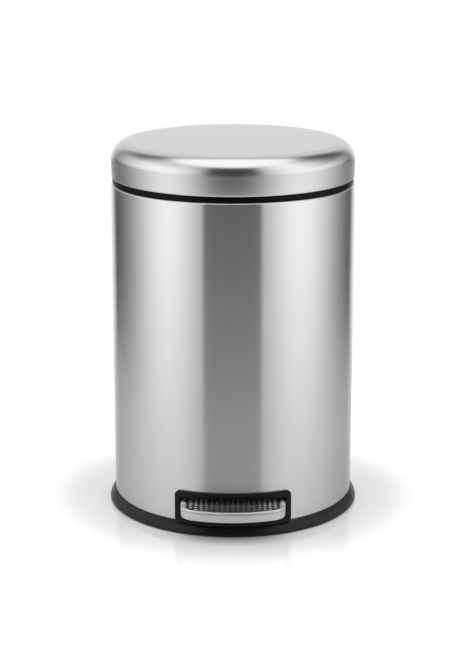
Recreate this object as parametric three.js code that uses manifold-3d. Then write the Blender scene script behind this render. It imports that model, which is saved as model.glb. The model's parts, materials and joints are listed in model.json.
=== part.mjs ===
// Pedal trash can of brushed steel, with a hinged lid, a foot pedal and a lift-out bucket.
// Millimetres, +Z up. The origin is on the floor under the middle of the can.
// The pedal faces -Y and the lid hinge is at +Y.

import * as THREE from 'three';
import { mergeVertices } from 'three/addons/utils/BufferGeometryUtils.js';
import Module from 'manifold-3d';

const wasm = await Module();
wasm.setup();

// Whole can
const bodyRadius = 125;
const bodyTopHeight = 339.6;
const ringHeight = 6.1;
const lidDepth = 36.7;
const baseTopHeight = 11.9;
const sheetThickness = 0.6;

// Clearances and cuts
const seatGap = 0.3;
const runningGap = 0.5;
const cutOverrun = 1;

// Smoothness
const visibleRingSides = 64;
const hiddenRingSides = 40;
const pinSides = 12;
const wireSides = 8;
const filletSteps = 4;
const edgeSteps = 2;

// Rubber feet
const footRadius = 7;
const footProud = 1;
const footSeatDepth = 1.5;
const footInset = 6.5;
const footAngles = [45, 135, 225, 315];

// Base ring
const baseFlare = 5.7;
const baseEdgeRound = 0.8;
const baseLipWidth = 0.4;
const baseFlangeThickness = 3;
const baseFlangeWidth = 17;
const flareSteps = 4;
const flarePowerShare = 1.7;

// Body shell
const shellEdgeRadius = 2;
const rearNotchHalfWidth = 19;
const rearNotchDepth = 20.1;

// Ring between body and lid
const topRingInset = 1.4;
const topRingCorner = 0.9;
const topRingMouthInset = 6.5;
const topRingSkirtDepth = 15;
const topRingSkirtThickness = 2;
const topRingPlateThickness = 2.6;

// Raised floor
const deckRise = 5;
const deckThickness = 2;
const deckSkirtThickness = 1.6;

// Frame around the pedal opening
const surroundHalfWidth = 58;
const surroundSink = 2.4;
const surroundHeight = 35.5;
const surroundCorner = 6;
const surroundProud = 2.4;
const surroundDepth = 7;
const surroundOverlap = 2.6;
const openingJamb = 4.8;
const openingSill = 7;
const openingHead = 5.5;
const openingCorner = 4;

// Pedal tray
const traySideGap = 0.7;
const trayReach = 24;
const trayRearInset = 25;
const trayTopGap = 6.5;
const traySkirtHeight = 10;
const traySkirtThickness = 2;
const traySkirtSetback = 4;
const trayPlateThickness = 3.2;
const trayFrontRadius = 114.25;
const trayCornerRadius = 10;
const trayEdgeRound = 0.8;

// Foot pad in the tray
const padSideMargin = 5.5;
const padFrontMargin = 2;
const padCornerRadius = 6;
const padPocketDepth = 1.9;
const padThickness = 1.1;
const padRearMargin = 1.5;
const studRadius = 1.9;
const studTopRadius = 1.1;
const studHeight = 0.8;
const studPitchAcross = 5.3;
const studPitchAlong = 5.6;
const studFirstRowInset = 10.6;
const studEdgeMargin = 0.4;
const studSides = 4;

// Pedal lever and its axle
const axleBehindFront = 99;
const axleDrop = 1.8;
const axleRadius = 3;
const axleHalfLength = 19;
const bushWall = 2.1;
const leverEyeWall = 2.3;
const leverHalfWidth = 12;
const leverFrontHalfWidth = 20;
const leverFrontReach = 64;
const leverWideRear = 22;
const leverThickness = 3;
const leverFlangeHeight = 3.5;
const leverFlangeThickness = 2;
const leverPinRadius = 2;
const leverEyeRadius = 4.2;
const leverForkHalfWidth = 8.5;
const leverForkSlotHalfWidth = 2.4;
const leverForkDepth = 10;
const leverPinHalfLength = 8.9;

// Rivets that hold the tray on the lever
const rivetShankRadius = 1.6;
const rivetHeadRadius = 3.2;
const rivetHeadHeight = 1.4;
const rivetSpread = 13;
const rivetSetback = 8;

// Bracket of the pedal axle
const bracketEarThickness = 2;
const bracketEarRadius = 7;
const bracketEarGap = 1;
const bracketHalfDepth = 12;
const bracketPlateHalfWidth = 27;
const bracketScrewSpread = 21;
const clipThickness = 1.2;
const clipWall = 2.2;

// Screws
const screwShankRadius = 1.8;
const screwHeadRadius = 3.5;
const screwHeadHeight = 2.4;
const smallScrewShankRadius = 1.3;
const smallScrewHeadRadius = 2.5;
const smallScrewHeadHeight = 1.8;

// Push rod
const rodRadius = 2.75;
const rodPlateThickness = 3;
const rodSlotWall = 1.8;
const rodSlotHeightGap = 0.7;
const rodFootSlotGap = 0.6;
const rodSlotEndGap = 0.4;

// Lid hinge, crank and lid opening
const hingeSetback = 9;
const hingeDrop = 1.6;
const hingePinRadius = 2;
const crankRadius = 20;
const lidOpeningDegrees = 80;
const knuckleRadius = 5.5;
const crankEyeRadius = 4.8;
const cheekInnerHalfWidth = 16;
const cheekThickness = 2;
const bracketPlateInset = 10;
const bracketPlateThickness = 2;
const lidPlateHalfWidth = 22;
const lidPlateRise = 2.8;
const lidPlateDrop = 15.4;
const crankPinHalfLength = 18.6;
const lidScrewSpread = 9;
const lidScrewDrop = 7.5;
const lidScrewReach = 3.6;

// Hinge housing on the back
const housingHalfWidth = 34;
const housingReach = 21;
const housingHeight = 44.5;
const housingTopGap = 1.2;
const housingCorner = 9;
const housingTopRound = 5;
const housingBottomSlant = 9;
const housingWall = 3;
const housingCavityHalfWidth = 19.3;
const housingEarThickness = 3;
const housingSideWall = 2.5;
const housingCavityDepth = 28.5;
const housingPocketCover = 3.5;
const hingeScrewSpread = 27.5;
const hingeScrewRise = 8;
const hingeScrewReach = 12;
const hingeScrewHeadSink = 4.3;

// Plate behind the hinge housing
const backplateThickness = 1.5;
const backplateHalfWidth = 33;
const backplateHeight = 68;
const backplateDrop = 5.6;

// Guides of the push rod
const guideWall = 2;
const guideFlange = 1.2;
const guideFlangeThickness = 1.5;
const guideDepth = 2;
const upperGuideHalfWidth = 11;
const upperGuideReach = 14;
const upperGuideRise = 4;
const upperGuideHeight = 14;
const guideScrewSpread = 7;

// Lid
const lidInset = 0.5;
const lidFilletRadius = 19.3;
const lidHemHeight = 4;
const linerThickness = 1.8;
const linerHemGap = 0.6;
const linerPadHalfWidth = 24;

// Rubber bumpers between lid and ring
const bumperWidth = 2.9;
const bumperHalfLength = 5;
const bumperInset = 1.6;
const bumperAngles = { front: 270, left: 155, right: 25 };

// Inner bucket
const bucketBottomInset = 23.5;
const bucketTopInset = 15.5;
const bucketWall = 1.6;
const bucketFloor = 2;
const bucketRimDrop = 11.6;
const bucketRimOverhang = 3.5;
const bucketRimThickness = 2;
const bucketFootRound = 4;
const bucketFlatInset = 18.1;
const bucketRimFlatOverhang = 1.6;
const earThickness = 2.2;
const earHalfLength = 4;
const earHeight = 7;
const earInset = 4.7;

// Wire handle of the bucket
const wireRadius = 1.8;
const handleInset = 2.6;
const handleSteps = 24;
const handleHook = 5.4;

// Places that follow from the sizes above
const degree = Math.PI / 180;
const lidRimHeight = bodyTopHeight + ringHeight;
const totalHeight = lidRimHeight + lidDepth;
const footCircleRadius = bodyRadius - footInset;
const baseRingRadius = bodyRadius + baseFlare;
const rearNotchBottom = bodyTopHeight - rearNotchDepth;
const topRingRadius = bodyRadius - topRingInset;
const topRingMouthRadius = bodyRadius - topRingMouthInset;
const surroundBottom = baseTopHeight - surroundSink;
const surroundTop = surroundBottom + surroundHeight;
const openingHalfWidth = surroundHalfWidth - openingJamb;
const openingBottom = surroundBottom + openingSill;
const openingTop = surroundTop - openingHead;
const deckTopHeight = surroundTop + deckRise;
const trayHalfWidth = openingHalfWidth - traySideGap;
const trayFront = bodyRadius + trayReach;
const trayRear = bodyRadius - trayRearInset;
const trayTopHeight = openingTop - trayTopGap;
const traySkirtRear = bodyRadius - traySkirtSetback;
const shellInnerRadius = bodyRadius - sheetThickness;
const baseFlangeTop = footProud + baseFlangeThickness;
const shellBottom = baseFlangeTop + seatGap;
const shellSeatRadius = bodyRadius + seatGap;
const baseFlangeInnerRadius = bodyRadius - baseFlangeWidth;
const surroundSeatRadius = bodyRadius + seatGap;
const surroundFaceRadius = bodyRadius + surroundProud;
const deckRadius = shellInnerRadius - seatGap;
const deckUnderside = deckTopHeight - deckThickness;
const trayUnderside = trayTopHeight - trayPlateThickness;
const trayBottom = trayTopHeight - traySkirtHeight;
const trayArcCentreY = trayFrontRadius - trayFront;
const axleY = axleBehindFront - trayFront;
const axleHeight = trayUnderside - axleDrop;
const hingeY = bodyRadius + hingeSetback;
const hingeHeight = bodyTopHeight - hingeDrop;
const crankAngle = lidOpeningDegrees / 2 * degree;
const crankPinY = hingeY - crankRadius * Math.cos(crankAngle);
const crankPinHeight = hingeHeight - crankRadius * Math.sin(crankAngle);
const rodTravel = 2 * crankRadius * Math.sin(crankAngle);
const rodY = (crankPinY + hingeY - crankRadius) / 2;
const leverPinHeight = axleHeight - rodTravel / 2;
const bushRadius = axleRadius + seatGap + bushWall;
const leverBoreRadius = bushRadius + seatGap;
const leverHubRadius = leverBoreRadius + leverEyeWall;
const leverTop = trayUnderside - seatGap;
const leverFrontMiddle = leverTop - leverThickness / 2;
const backplateOuterRadius = shellInnerRadius - seatGap;
const backplateInnerRadius = backplateOuterRadius - backplateThickness;
const backplateTop = bodyTopHeight - backplateDrop;
const backplateBottom = backplateTop - backplateHeight;
const upperGuideFront = bodyRadius - upperGuideReach;
const upperGuideBottom = backplateBottom + upperGuideRise;
const upperGuideTop = upperGuideBottom + upperGuideHeight;
const housingRear = bodyRadius + housingReach;
const housingTop = lidRimHeight - housingTopGap;
const housingBottom = housingTop - housingHeight;
const housingCavityBottom = housingTop - housingCavityDepth;
const housingPocketTop = housingTop - housingPocketCover;
const hingePinHalfLength = housingHalfWidth - seatGap;
const hingeScrewHeight = housingBottom + hingeScrewRise;
const topRingBottom = bodyTopHeight + seatGap;
const topRingTop = lidRimHeight - seatGap;
const topRingSkirtRadius = bodyRadius - shellEdgeRadius - 2 * seatGap;
const lidRadius = bodyRadius - lidInset;
const bracketPlateY = bodyRadius - bracketPlateInset;
const lidPlateBottom = lidRimHeight + lidPlateRise;
const lidPlateTop = totalHeight - lidPlateDrop;
const lidScrewHeight = lidPlateTop - lidScrewDrop;
const bumperOuterRadius = lidRadius - bumperInset;
const linerBottom = lidRimHeight + lidHemHeight + linerHemGap + seatGap;
const linerRadius = lidRadius - sheetThickness - seatGap;
const bracketPlateTop = deckUnderside - seatGap;
const bracketEarInner = leverHalfWidth + bracketEarGap;
const bracketEarOuter = bracketEarInner + bracketEarThickness;
const bucketBottomRadius = bodyRadius - bucketBottomInset;
const bucketTopRadius = bodyRadius - bucketTopInset;
const bucketRimRadius = bucketTopRadius + bucketRimOverhang;
const bucketRimHeight = bodyTopHeight - bucketRimDrop;
const bucketFlatY = bodyRadius - bucketFlatInset;
const bucketRimFlatY = bucketFlatY + bucketRimFlatOverhang;
const handleRadius = bucketRimRadius - handleInset;
const handleHeight = bucketRimHeight + seatGap + wireRadius;
const padHalfWidth = trayHalfWidth - padSideMargin;
const padRear = trayRear + padRearMargin;
const padBottom = trayTopHeight - padPocketDepth + seatGap;
const studRoom = studRadius + studEdgeMargin;
const studColumnsAside = Math.floor((padHalfWidth - studRoom) / studPitchAcross);
const studRowsLength = trayFront - padRear - studFirstRowInset - studRoom;
const studRows = 1 + Math.floor(studRowsLength / studPitchAlong);

// Materials
function brushedSteel() {
  return new THREE.MeshStandardMaterial({ color: 0xb4b6b8, roughness: 0.34, metalness: 1 });
}

function satinTrayMetal() {
  return new THREE.MeshStandardMaterial({ color: 0xbfc0c2, roughness: 0.4, metalness: 1 });
}

function platedSteel() {
  return new THREE.MeshStandardMaterial({ color: 0x9a9c9e, roughness: 0.45, metalness: 1 });
}

function blackPlastic() {
  return new THREE.MeshStandardMaterial({ color: 0x1b1b1c, roughness: 0.42, metalness: 0 });
}

function greyPlastic() {
  return new THREE.MeshStandardMaterial({ color: 0x4a4b4d, roughness: 0.5, metalness: 0 });
}

function naturalNylon() {
  return new THREE.MeshStandardMaterial({ color: 0xd9d6cc, roughness: 0.5, metalness: 0 });
}

function blackRubber() {
  return new THREE.MeshStandardMaterial({ color: 0x161616, roughness: 0.75, metalness: 0 });
}

// Solid helpers
function signedVolume(position, index) {
  const a = new THREE.Vector3();
  const b = new THREE.Vector3();
  const c = new THREE.Vector3();
  let sum = 0;
  for (let i = 0; i < index.length; i += 3) {
    a.fromArray(position, 3 * index[i]);
    b.fromArray(position, 3 * index[i + 1]);
    c.fromArray(position, 3 * index[i + 2]);
    sum += a.dot(b.cross(c));
  }
  return sum;
}

function toSolid(geometry) {
  const bare = geometry.clone();
  bare.deleteAttribute('normal');
  bare.deleteAttribute('uv');
  const merged = mergeVertices(bare);
  const position = merged.attributes.position.array;
  const kept = [];
  const source = merged.index.array;
  for (let i = 0; i < source.length; i += 3) {
    const corners = [source[i], source[i + 1], source[i + 2]];
    if (new Set(corners).size === 3) kept.push(...corners);
  }
  if (signedVolume(position, kept) < 0) kept.reverse();
  const vertProperties = new Float32Array(position);
  const triVerts = new Uint32Array(kept);
  return new wasm.Manifold(new wasm.Mesh({ numProp: 3, vertProperties, triVerts }));
}

function toGeometry(solid) {
  const mesh = solid.getMesh();
  const geometry = new THREE.BufferGeometry();
  geometry.setAttribute('position', new THREE.BufferAttribute(mesh.vertProperties, 3));
  geometry.setIndex(new THREE.BufferAttribute(mesh.triVerts, 1));
  geometry.computeVertexNormals();
  return geometry;
}

function unite(solids) {
  return solids.reduce((joined, solid) => joined.add(solid));
}

// A ring or a cup, turned about the Z axis from points of [radius, height].
function turned(points, sides) {
  const profile = points.map(([radius, height]) => new THREE.Vector2(radius, height));
  const geometry = new THREE.LatheGeometry(profile, sides);
  geometry.rotateX(Math.PI / 2);
  return toSolid(geometry);
}

function turnedRing(points, sides) {
  return turned([...points, points[0]], sides);
}

// A plain round bar between two heights, about an upright line.
function upright(radius, bottom, top, x, y, sides = pinSides) {
  const geometry = new THREE.CylinderGeometry(radius, radius, top - bottom, sides);
  geometry.rotateX(Math.PI / 2);
  geometry.translate(x, y, (bottom + top) / 2);
  return toSolid(geometry);
}

// A plain round bar along X.
function crossBar(radius, left, right, y, height, sides = pinSides) {
  const geometry = new THREE.CylinderGeometry(radius, radius, right - left, sides);
  geometry.rotateZ(Math.PI / 2);
  geometry.translate((left + right) / 2, y, height);
  return toSolid(geometry);
}

// A plain round bar along Y.
function depthBar(radius, front, rear, x, height, sides = pinSides) {
  const geometry = new THREE.CylinderGeometry(radius, radius, rear - front, sides);
  geometry.translate(x, (front + rear) / 2, height);
  return toSolid(geometry);
}

function block(low, high) {
  const size = high.map((value, i) => value - low[i]);
  const geometry = new THREE.BoxGeometry(...size);
  geometry.translate(...low.map((value, i) => value + size[i] / 2));
  return toSolid(geometry);
}

function tube(innerRadius, outerRadius, bottom, top, sides) {
  return turnedRing([
    [innerRadius, bottom],
    [outerRadius, bottom],
    [outerRadius, top],
    [innerRadius, top],
  ], sides);
}

// A plan outline in X and Y, raised between two heights.
function raised(shape, bottom, top) {
  const geometry = new THREE.ExtrudeGeometry(shape, {
    depth: top - bottom,
    bevelEnabled: false,
    curveSegments: filletSteps,
  });
  geometry.translate(0, 0, bottom);
  return toSolid(geometry);
}

// A side outline in Y and Z, spread along X.
function spread(shape, left, right) {
  const geometry = new THREE.ExtrudeGeometry(shape, {
    depth: right - left,
    bevelEnabled: false,
    curveSegments: filletSteps,
  });
  const turn = new THREE.Matrix4().makeBasis(
    new THREE.Vector3(0, 1, 0),
    new THREE.Vector3(0, 0, 1),
    new THREE.Vector3(1, 0, 0),
  );
  geometry.applyMatrix4(turn);
  geometry.translate(left, 0, 0);
  return toSolid(geometry);
}

// A front outline in X and Z, reaching from one Y to another.
function sunk(shape, front, rear) {
  const geometry = new THREE.ExtrudeGeometry(shape, {
    depth: rear - front,
    bevelEnabled: false,
    curveSegments: filletSteps,
  });
  geometry.rotateX(Math.PI / 2);
  geometry.translate(0, rear, 0);
  return toSolid(geometry);
}

function polygon(points) {
  return new THREE.Shape(points.map(([across, up]) => new THREE.Vector2(across, up)));
}

function roundedRectangle(halfWidth, bottom, top, corner) {
  const shape = new THREE.Shape();
  shape.absarc(halfWidth - corner, bottom + corner, corner, -Math.PI / 2, 0);
  shape.absarc(halfWidth - corner, top - corner, corner, 0, Math.PI / 2);
  shape.absarc(corner - halfWidth, top - corner, corner, Math.PI / 2, Math.PI);
  shape.absarc(corner - halfWidth, bottom + corner, corner, Math.PI, Math.PI * 3 / 2);
  shape.closePath();
  return shape;
}

function arcPoints(centreRadius, centreHeight, radius, from, to, steps) {
  const points = [];
  for (let step = 0; step <= steps; step += 1) {
    const angle = from + (to - from) * step / steps;
    points.push([
      centreRadius + radius * Math.cos(angle),
      centreHeight + radius * Math.sin(angle),
    ]);
  }
  return points;
}

function screwUp(shank, head, headHeight, headBottom, top, x, y) {
  const headTop = headBottom + headHeight;
  return upright(head, headBottom, headTop, x, y).add(upright(shank, headBottom, top, x, y));
}

// Base
function makeFoot(angle) {
  const x = footCircleRadius * Math.cos(angle * degree);
  const y = footCircleRadius * Math.sin(angle * degree);
  return upright(footRadius, 0, footProud + footSeatDepth - seatGap, x, y);
}

function makeBaseRing() {
  const flareBottom = footProud + baseEdgeRound;
  const flareHeight = baseTopHeight - flareBottom;
  const flareReach = baseRingRadius - shellSeatRadius - baseLipWidth;
  const points = [
    [baseFlangeInnerRadius, footProud],
    [baseRingRadius - baseEdgeRound, footProud],
  ];
  for (let step = 0; step <= flareSteps; step += 1) {
    const rise = step / flareSteps;
    const radius = baseRingRadius - flareReach * rise ** flarePowerShare;
    points.push([radius, flareBottom + rise * flareHeight]);
  }
  points.push([shellSeatRadius, baseTopHeight]);
  points.push([shellSeatRadius, baseFlangeTop]);
  points.push([baseFlangeInnerRadius, baseFlangeTop]);
  let ring = turnedRing(points, visibleRingSides);
  const cutHalfWidth = surroundHalfWidth + seatGap;
  ring = ring.subtract(block(
    [-cutHalfWidth, -baseRingRadius - cutOverrun, surroundBottom - seatGap],
    [cutHalfWidth, 0, baseTopHeight + cutOverrun],
  ));
  for (const angle of footAngles) {
    const x = footCircleRadius * Math.cos(angle * degree);
    const y = footCircleRadius * Math.sin(angle * degree);
    const pocketTop = footProud + footSeatDepth;
    ring = ring.subtract(upright(footRadius + seatGap, 0, pocketTop, x, y));
  }
  return ring;
}

function makeDeck() {
  const skirtInner = deckRadius - deckSkirtThickness;
  let deck = turned([
    [0, deckUnderside],
    [skirtInner, deckUnderside],
    [skirtInner, shellBottom],
    [deckRadius, shellBottom],
    [deckRadius, deckTopHeight],
    [0, deckTopHeight],
  ], hiddenRingSides);
  const doorHalfWidth = surroundHalfWidth - surroundOverlap + seatGap;
  deck = deck.subtract(block(
    [-doorHalfWidth, -bodyRadius, 0],
    [doorHalfWidth, 0, surroundTop - surroundOverlap + seatGap],
  ));
  const boreRadius = rodRadius + seatGap + guideWall + seatGap;
  deck = deck.subtract(upright(boreRadius, deckUnderside - cutOverrun,
    deckTopHeight + cutOverrun, 0, rodY));
  for (const x of [-bracketScrewSpread, bracketScrewSpread]) {
    deck = deck.subtract(upright(screwShankRadius + seatGap, deckUnderside - cutOverrun,
      deckTopHeight + cutOverrun, x, axleY));
  }
  return deck;
}

// Body
function rearNotch(halfWidth) {
  return block(
    [-halfWidth, bodyRadius / 2, rearNotchBottom],
    [halfWidth, housingRear, lidRimHeight],
  );
}

function hingeScrewHoles(radius) {
  return unite([-hingeScrewSpread, hingeScrewSpread].map((x) => depthBar(
    radius, bodyRadius / 2, bodyRadius + hingeScrewReach, x, hingeScrewHeight)));
}

function makeOuterShell() {
  const edgeCentre = bodyRadius - shellEdgeRadius;
  const edgeHeight = bodyTopHeight - shellEdgeRadius;
  const innerEdge = shellEdgeRadius - sheetThickness;
  const shell = turnedRing([
    [bodyRadius, shellBottom],
    ...arcPoints(edgeCentre, edgeHeight, shellEdgeRadius, 0, Math.PI / 2, edgeSteps),
    ...arcPoints(edgeCentre, edgeHeight, innerEdge, Math.PI / 2, 0, edgeSteps),
    [shellInnerRadius, shellBottom],
  ], visibleRingSides);
  const doorHalfWidth = surroundHalfWidth - surroundOverlap + seatGap;
  const door = block(
    [-doorHalfWidth, -bodyRadius - cutOverrun, 0],
    [doorHalfWidth, 0, surroundTop - surroundOverlap + seatGap],
  );
  return shell.subtract(door)
    .subtract(rearNotch(rearNotchHalfWidth))
    .subtract(hingeScrewHoles(screwShankRadius + seatGap));
}

function makeTopRing() {
  const ring = turnedRing([
    [topRingMouthRadius, topRingTop - topRingPlateThickness],
    [topRingMouthRadius, topRingTop],
    [topRingRadius - topRingCorner, topRingTop],
    [topRingRadius, topRingTop - topRingCorner],
    [topRingRadius, topRingBottom + topRingCorner],
    [topRingRadius - topRingCorner, topRingBottom],
    [topRingSkirtRadius, topRingBottom],
    [topRingSkirtRadius, topRingBottom - topRingSkirtDepth],
    [topRingSkirtRadius - topRingSkirtThickness, topRingBottom - topRingSkirtDepth],
    [topRingSkirtRadius - topRingSkirtThickness, topRingTop - topRingPlateThickness],
  ], visibleRingSides);
  return ring.subtract(rearNotch(rearNotchHalfWidth));
}

function makePedalSurround() {
  const front = -surroundFaceRadius - cutOverrun;
  const outline = roundedRectangle(surroundHalfWidth, surroundBottom, surroundTop, surroundCorner);
  const flange = sunk(outline, front, 0).intersect(
    tube(surroundSeatRadius, surroundFaceRadius, 0, surroundTop + cutOverrun, visibleRingSides));
  const body = sunk(roundedRectangle(
    surroundHalfWidth - surroundOverlap,
    surroundBottom,
    surroundTop - surroundOverlap,
    surroundCorner,
  ), front, 0).intersect(tube(
    bodyRadius - surroundDepth, surroundSeatRadius + surroundProud / 2,
    0, surroundTop + cutOverrun, visibleRingSides));
  const opening = sunk(
    roundedRectangle(openingHalfWidth, openingBottom, openingTop, openingCorner), front, 0);
  return flange.add(body).subtract(opening);
}

// Pedal
function trayOutline(halfWidth, front, cornerRadius, rear) {
  const arcRadius = front + trayArcCentreY;
  const cornerX = halfWidth - cornerRadius;
  const reach = arcRadius - cornerRadius;
  const cornerY = trayArcCentreY - Math.sqrt(reach ** 2 - cornerX ** 2);
  const meet = Math.atan2(cornerY - trayArcCentreY, cornerX);
  const shape = new THREE.Shape();
  shape.moveTo(halfWidth, -rear);
  shape.lineTo(-halfWidth, -rear);
  shape.absarc(-cornerX, cornerY, cornerRadius, Math.PI, Math.PI * 2 - (Math.PI + meet));
  shape.absarc(0, trayArcCentreY, arcRadius, -Math.PI - meet, meet);
  shape.absarc(cornerX, cornerY, cornerRadius, meet, 0);
  shape.closePath();
  return shape;
}

function makePedalTray() {
  const outline = trayOutline(trayHalfWidth, trayFront, trayCornerRadius, trayRear);
  const lowered = trayOutline(
    trayHalfWidth - trayEdgeRound, trayFront - trayEdgeRound,
    trayCornerRadius - trayEdgeRound, trayRear);
  const plate = raised(outline, trayUnderside, trayTopHeight - trayEdgeRound)
    .add(raised(lowered, trayUnderside, trayTopHeight));
  const skirtInside = trayOutline(
    trayHalfWidth - traySkirtThickness, trayFront - traySkirtThickness,
    trayCornerRadius - traySkirtThickness, trayRear);
  const skirt = raised(outline, trayBottom, trayUnderside + trayEdgeRound)
    .subtract(raised(skirtInside, 0, trayUnderside))
    .intersect(block(
      [-bodyRadius, -trayFront - cutOverrun, 0],
      [bodyRadius, -traySkirtRear, trayTopHeight],
    ));
  const pocket = raised(trayOutline(
    padHalfWidth + seatGap, trayFront - padFrontMargin + seatGap,
    padCornerRadius + seatGap, trayRear - cutOverrun,
  ), trayTopHeight - padPocketDepth, trayTopHeight + cutOverrun);
  return plate.add(skirt).subtract(pocket).subtract(rivetHoles());
}

function studFits(x, y) {
  const edgeRadius = trayFrontRadius - padFrontMargin - studRoom;
  return Math.hypot(x, y - trayArcCentreY) < edgeRadius;
}

function makeStud(x, y, bottom) {
  const geometry = new THREE.CylinderGeometry(studTopRadius, studRadius,
    studHeight + seatGap, studSides);
  geometry.rotateX(Math.PI / 2);
  geometry.translate(x, y, bottom + (studHeight - seatGap) / 2);
  return toSolid(geometry);
}

function makePedalPad() {
  const sheetTop = padBottom + padThickness;
  const sheet = raised(
    trayOutline(padHalfWidth, trayFront - padFrontMargin, padCornerRadius, padRear),
    padBottom, sheetTop);
  const solids = [sheet];
  for (let row = 0; row < studRows; row += 1) {
    const y = -trayFront + studFirstRowInset + row * studPitchAlong;
    for (let column = -studColumnsAside; column <= studColumnsAside; column += 1) {
      const x = column * studPitchAcross;
      if (studFits(x, y)) solids.push(makeStud(x, y, sheetTop));
    }
  }
  return unite(solids);
}

function rivetPlaces() {
  const y = axleY - leverFrontReach + rivetSetback;
  return [[-rivetSpread, y], [rivetSpread, y]];
}

function rivetHoles() {
  return unite(rivetPlaces().map(([x, y]) => upright(
    rivetShankRadius + seatGap, trayBottom, trayTopHeight, x, y)));
}

function makePedalRivet(x, y) {
  const headTop = leverTop - leverThickness - seatGap;
  return screwUp(rivetShankRadius, rivetHeadRadius, rivetHeadHeight,
    headTop - rivetHeadHeight, trayTopHeight - padPocketDepth, x, y);
}

function slopingStrap(below, above) {
  return polygon([
    [axleY, axleHeight - below],
    [rodY, leverPinHeight - below],
    [rodY, leverPinHeight + above],
    [axleY, axleHeight + above],
  ]);
}

function makePedalLever() {
  const half = leverThickness / 2;
  const frontEnd = axleY - leverFrontReach;
  const front = spread(polygon([
    [frontEnd, leverTop - leverThickness],
    [axleY - leverWideRear, leverTop - leverThickness],
    [axleY - leverWideRear, leverTop],
    [frontEnd, leverTop],
  ]), -leverFrontHalfWidth, leverFrontHalfWidth);
  const neck = spread(polygon([
    [axleY - leverWideRear - leverThickness, leverFrontMiddle - half],
    [axleY, axleHeight - half],
    [axleY, axleHeight + half],
    [axleY - leverWideRear - leverThickness, leverFrontMiddle + half],
  ]), -leverHalfWidth, leverHalfWidth);
  const rear = spread(slopingStrap(half, half), -leverHalfWidth, leverHalfWidth);
  const flanges = [-leverHalfWidth, leverHalfWidth - leverFlangeThickness].map((left) => spread(
    slopingStrap(half, leverFlangeHeight), left, left + leverFlangeThickness));
  const forkEnd = rodY - leverForkDepth;
  const trim = block(
    [-leverHalfWidth - cutOverrun, forkEnd, 0],
    [leverHalfWidth + cutOverrun, bodyRadius, axleHeight],
  ).subtract(block(
    [-leverForkHalfWidth, 0, -cutOverrun],
    [leverForkHalfWidth, bodyRadius + cutOverrun, axleHeight + cutOverrun],
  ));
  const hub = crossBar(leverHubRadius, -leverHalfWidth, leverHalfWidth, axleY, axleHeight);
  const eye = crossBar(leverEyeRadius, -leverForkHalfWidth, leverForkHalfWidth,
    rodY, leverPinHeight);
  const slot = block(
    [-leverForkSlotHalfWidth, forkEnd, 0],
    [leverForkSlotHalfWidth, bodyRadius, axleHeight],
  );
  return unite([front, neck, rear, ...flanges, hub])
    .subtract(trim)
    .add(eye)
    .subtract(slot)
    .subtract(crossBar(leverBoreRadius, -bodyRadius, bodyRadius, axleY, axleHeight))
    .subtract(crossBar(leverPinRadius + seatGap, -bodyRadius, bodyRadius, rodY, leverPinHeight))
    .subtract(rivetHoles());
}

function makePedalBush() {
  return crossBar(bushRadius, -leverHalfWidth, leverHalfWidth, axleY, axleHeight)
    .subtract(crossBar(axleRadius + seatGap, -bodyRadius, bodyRadius, axleY, axleHeight));
}

function makePedalAxle() {
  return crossBar(axleRadius, -axleHalfLength, axleHalfLength, axleY, axleHeight);
}

function makeAxleClip(side) {
  const near = side * (bracketEarOuter + seatGap);
  const far = near + side * clipThickness;
  const left = Math.min(near, far);
  const right = Math.max(near, far);
  return crossBar(axleRadius + clipWall, left, right, axleY, axleHeight)
    .subtract(crossBar(axleRadius + seatGap, -bodyRadius, bodyRadius, axleY, axleHeight));
}

function makePedalBracket() {
  const ear = new THREE.Shape();
  ear.moveTo(axleY + bracketHalfDepth, bracketPlateTop);
  ear.lineTo(axleY - bracketHalfDepth, bracketPlateTop);
  ear.absarc(axleY, axleHeight, bracketEarRadius, Math.PI, Math.PI * 2);
  ear.closePath();
  const plate = block(
    [-bracketPlateHalfWidth, axleY - bracketHalfDepth, bracketPlateTop - bracketEarThickness],
    [bracketPlateHalfWidth, axleY + bracketHalfDepth, bracketPlateTop],
  );
  const holes = [-bracketScrewSpread, bracketScrewSpread].map((x) => upright(
    screwShankRadius + seatGap, axleHeight, deckTopHeight, x, axleY));
  return plate
    .add(spread(ear, bracketEarInner, bracketEarOuter))
    .add(spread(ear, -bracketEarOuter, -bracketEarInner))
    .subtract(crossBar(axleRadius + seatGap, -bodyRadius, bodyRadius, axleY, axleHeight))
    .subtract(unite(holes));
}

function makeBracketScrew(x) {
  const headTop = bracketPlateTop - bracketEarThickness - seatGap;
  return screwUp(screwShankRadius, screwHeadRadius, screwHeadHeight,
    headTop - screwHeadHeight, deckTopHeight - seatGap, x, axleY);
}

function makeLeverPin() {
  return crossBar(leverPinRadius, -leverPinHalfLength, leverPinHalfLength, rodY, leverPinHeight);
}

// Push rod and its guides
function rodPlate(front, rear, bottom, top) {
  return block([-rodPlateThickness / 2, front, bottom], [rodPlateThickness / 2, rear, top]);
}

function rodSlot(front, rear, bottom, top) {
  return block([-bodyRadius, front, bottom], [bodyRadius, rear, top]);
}

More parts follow.
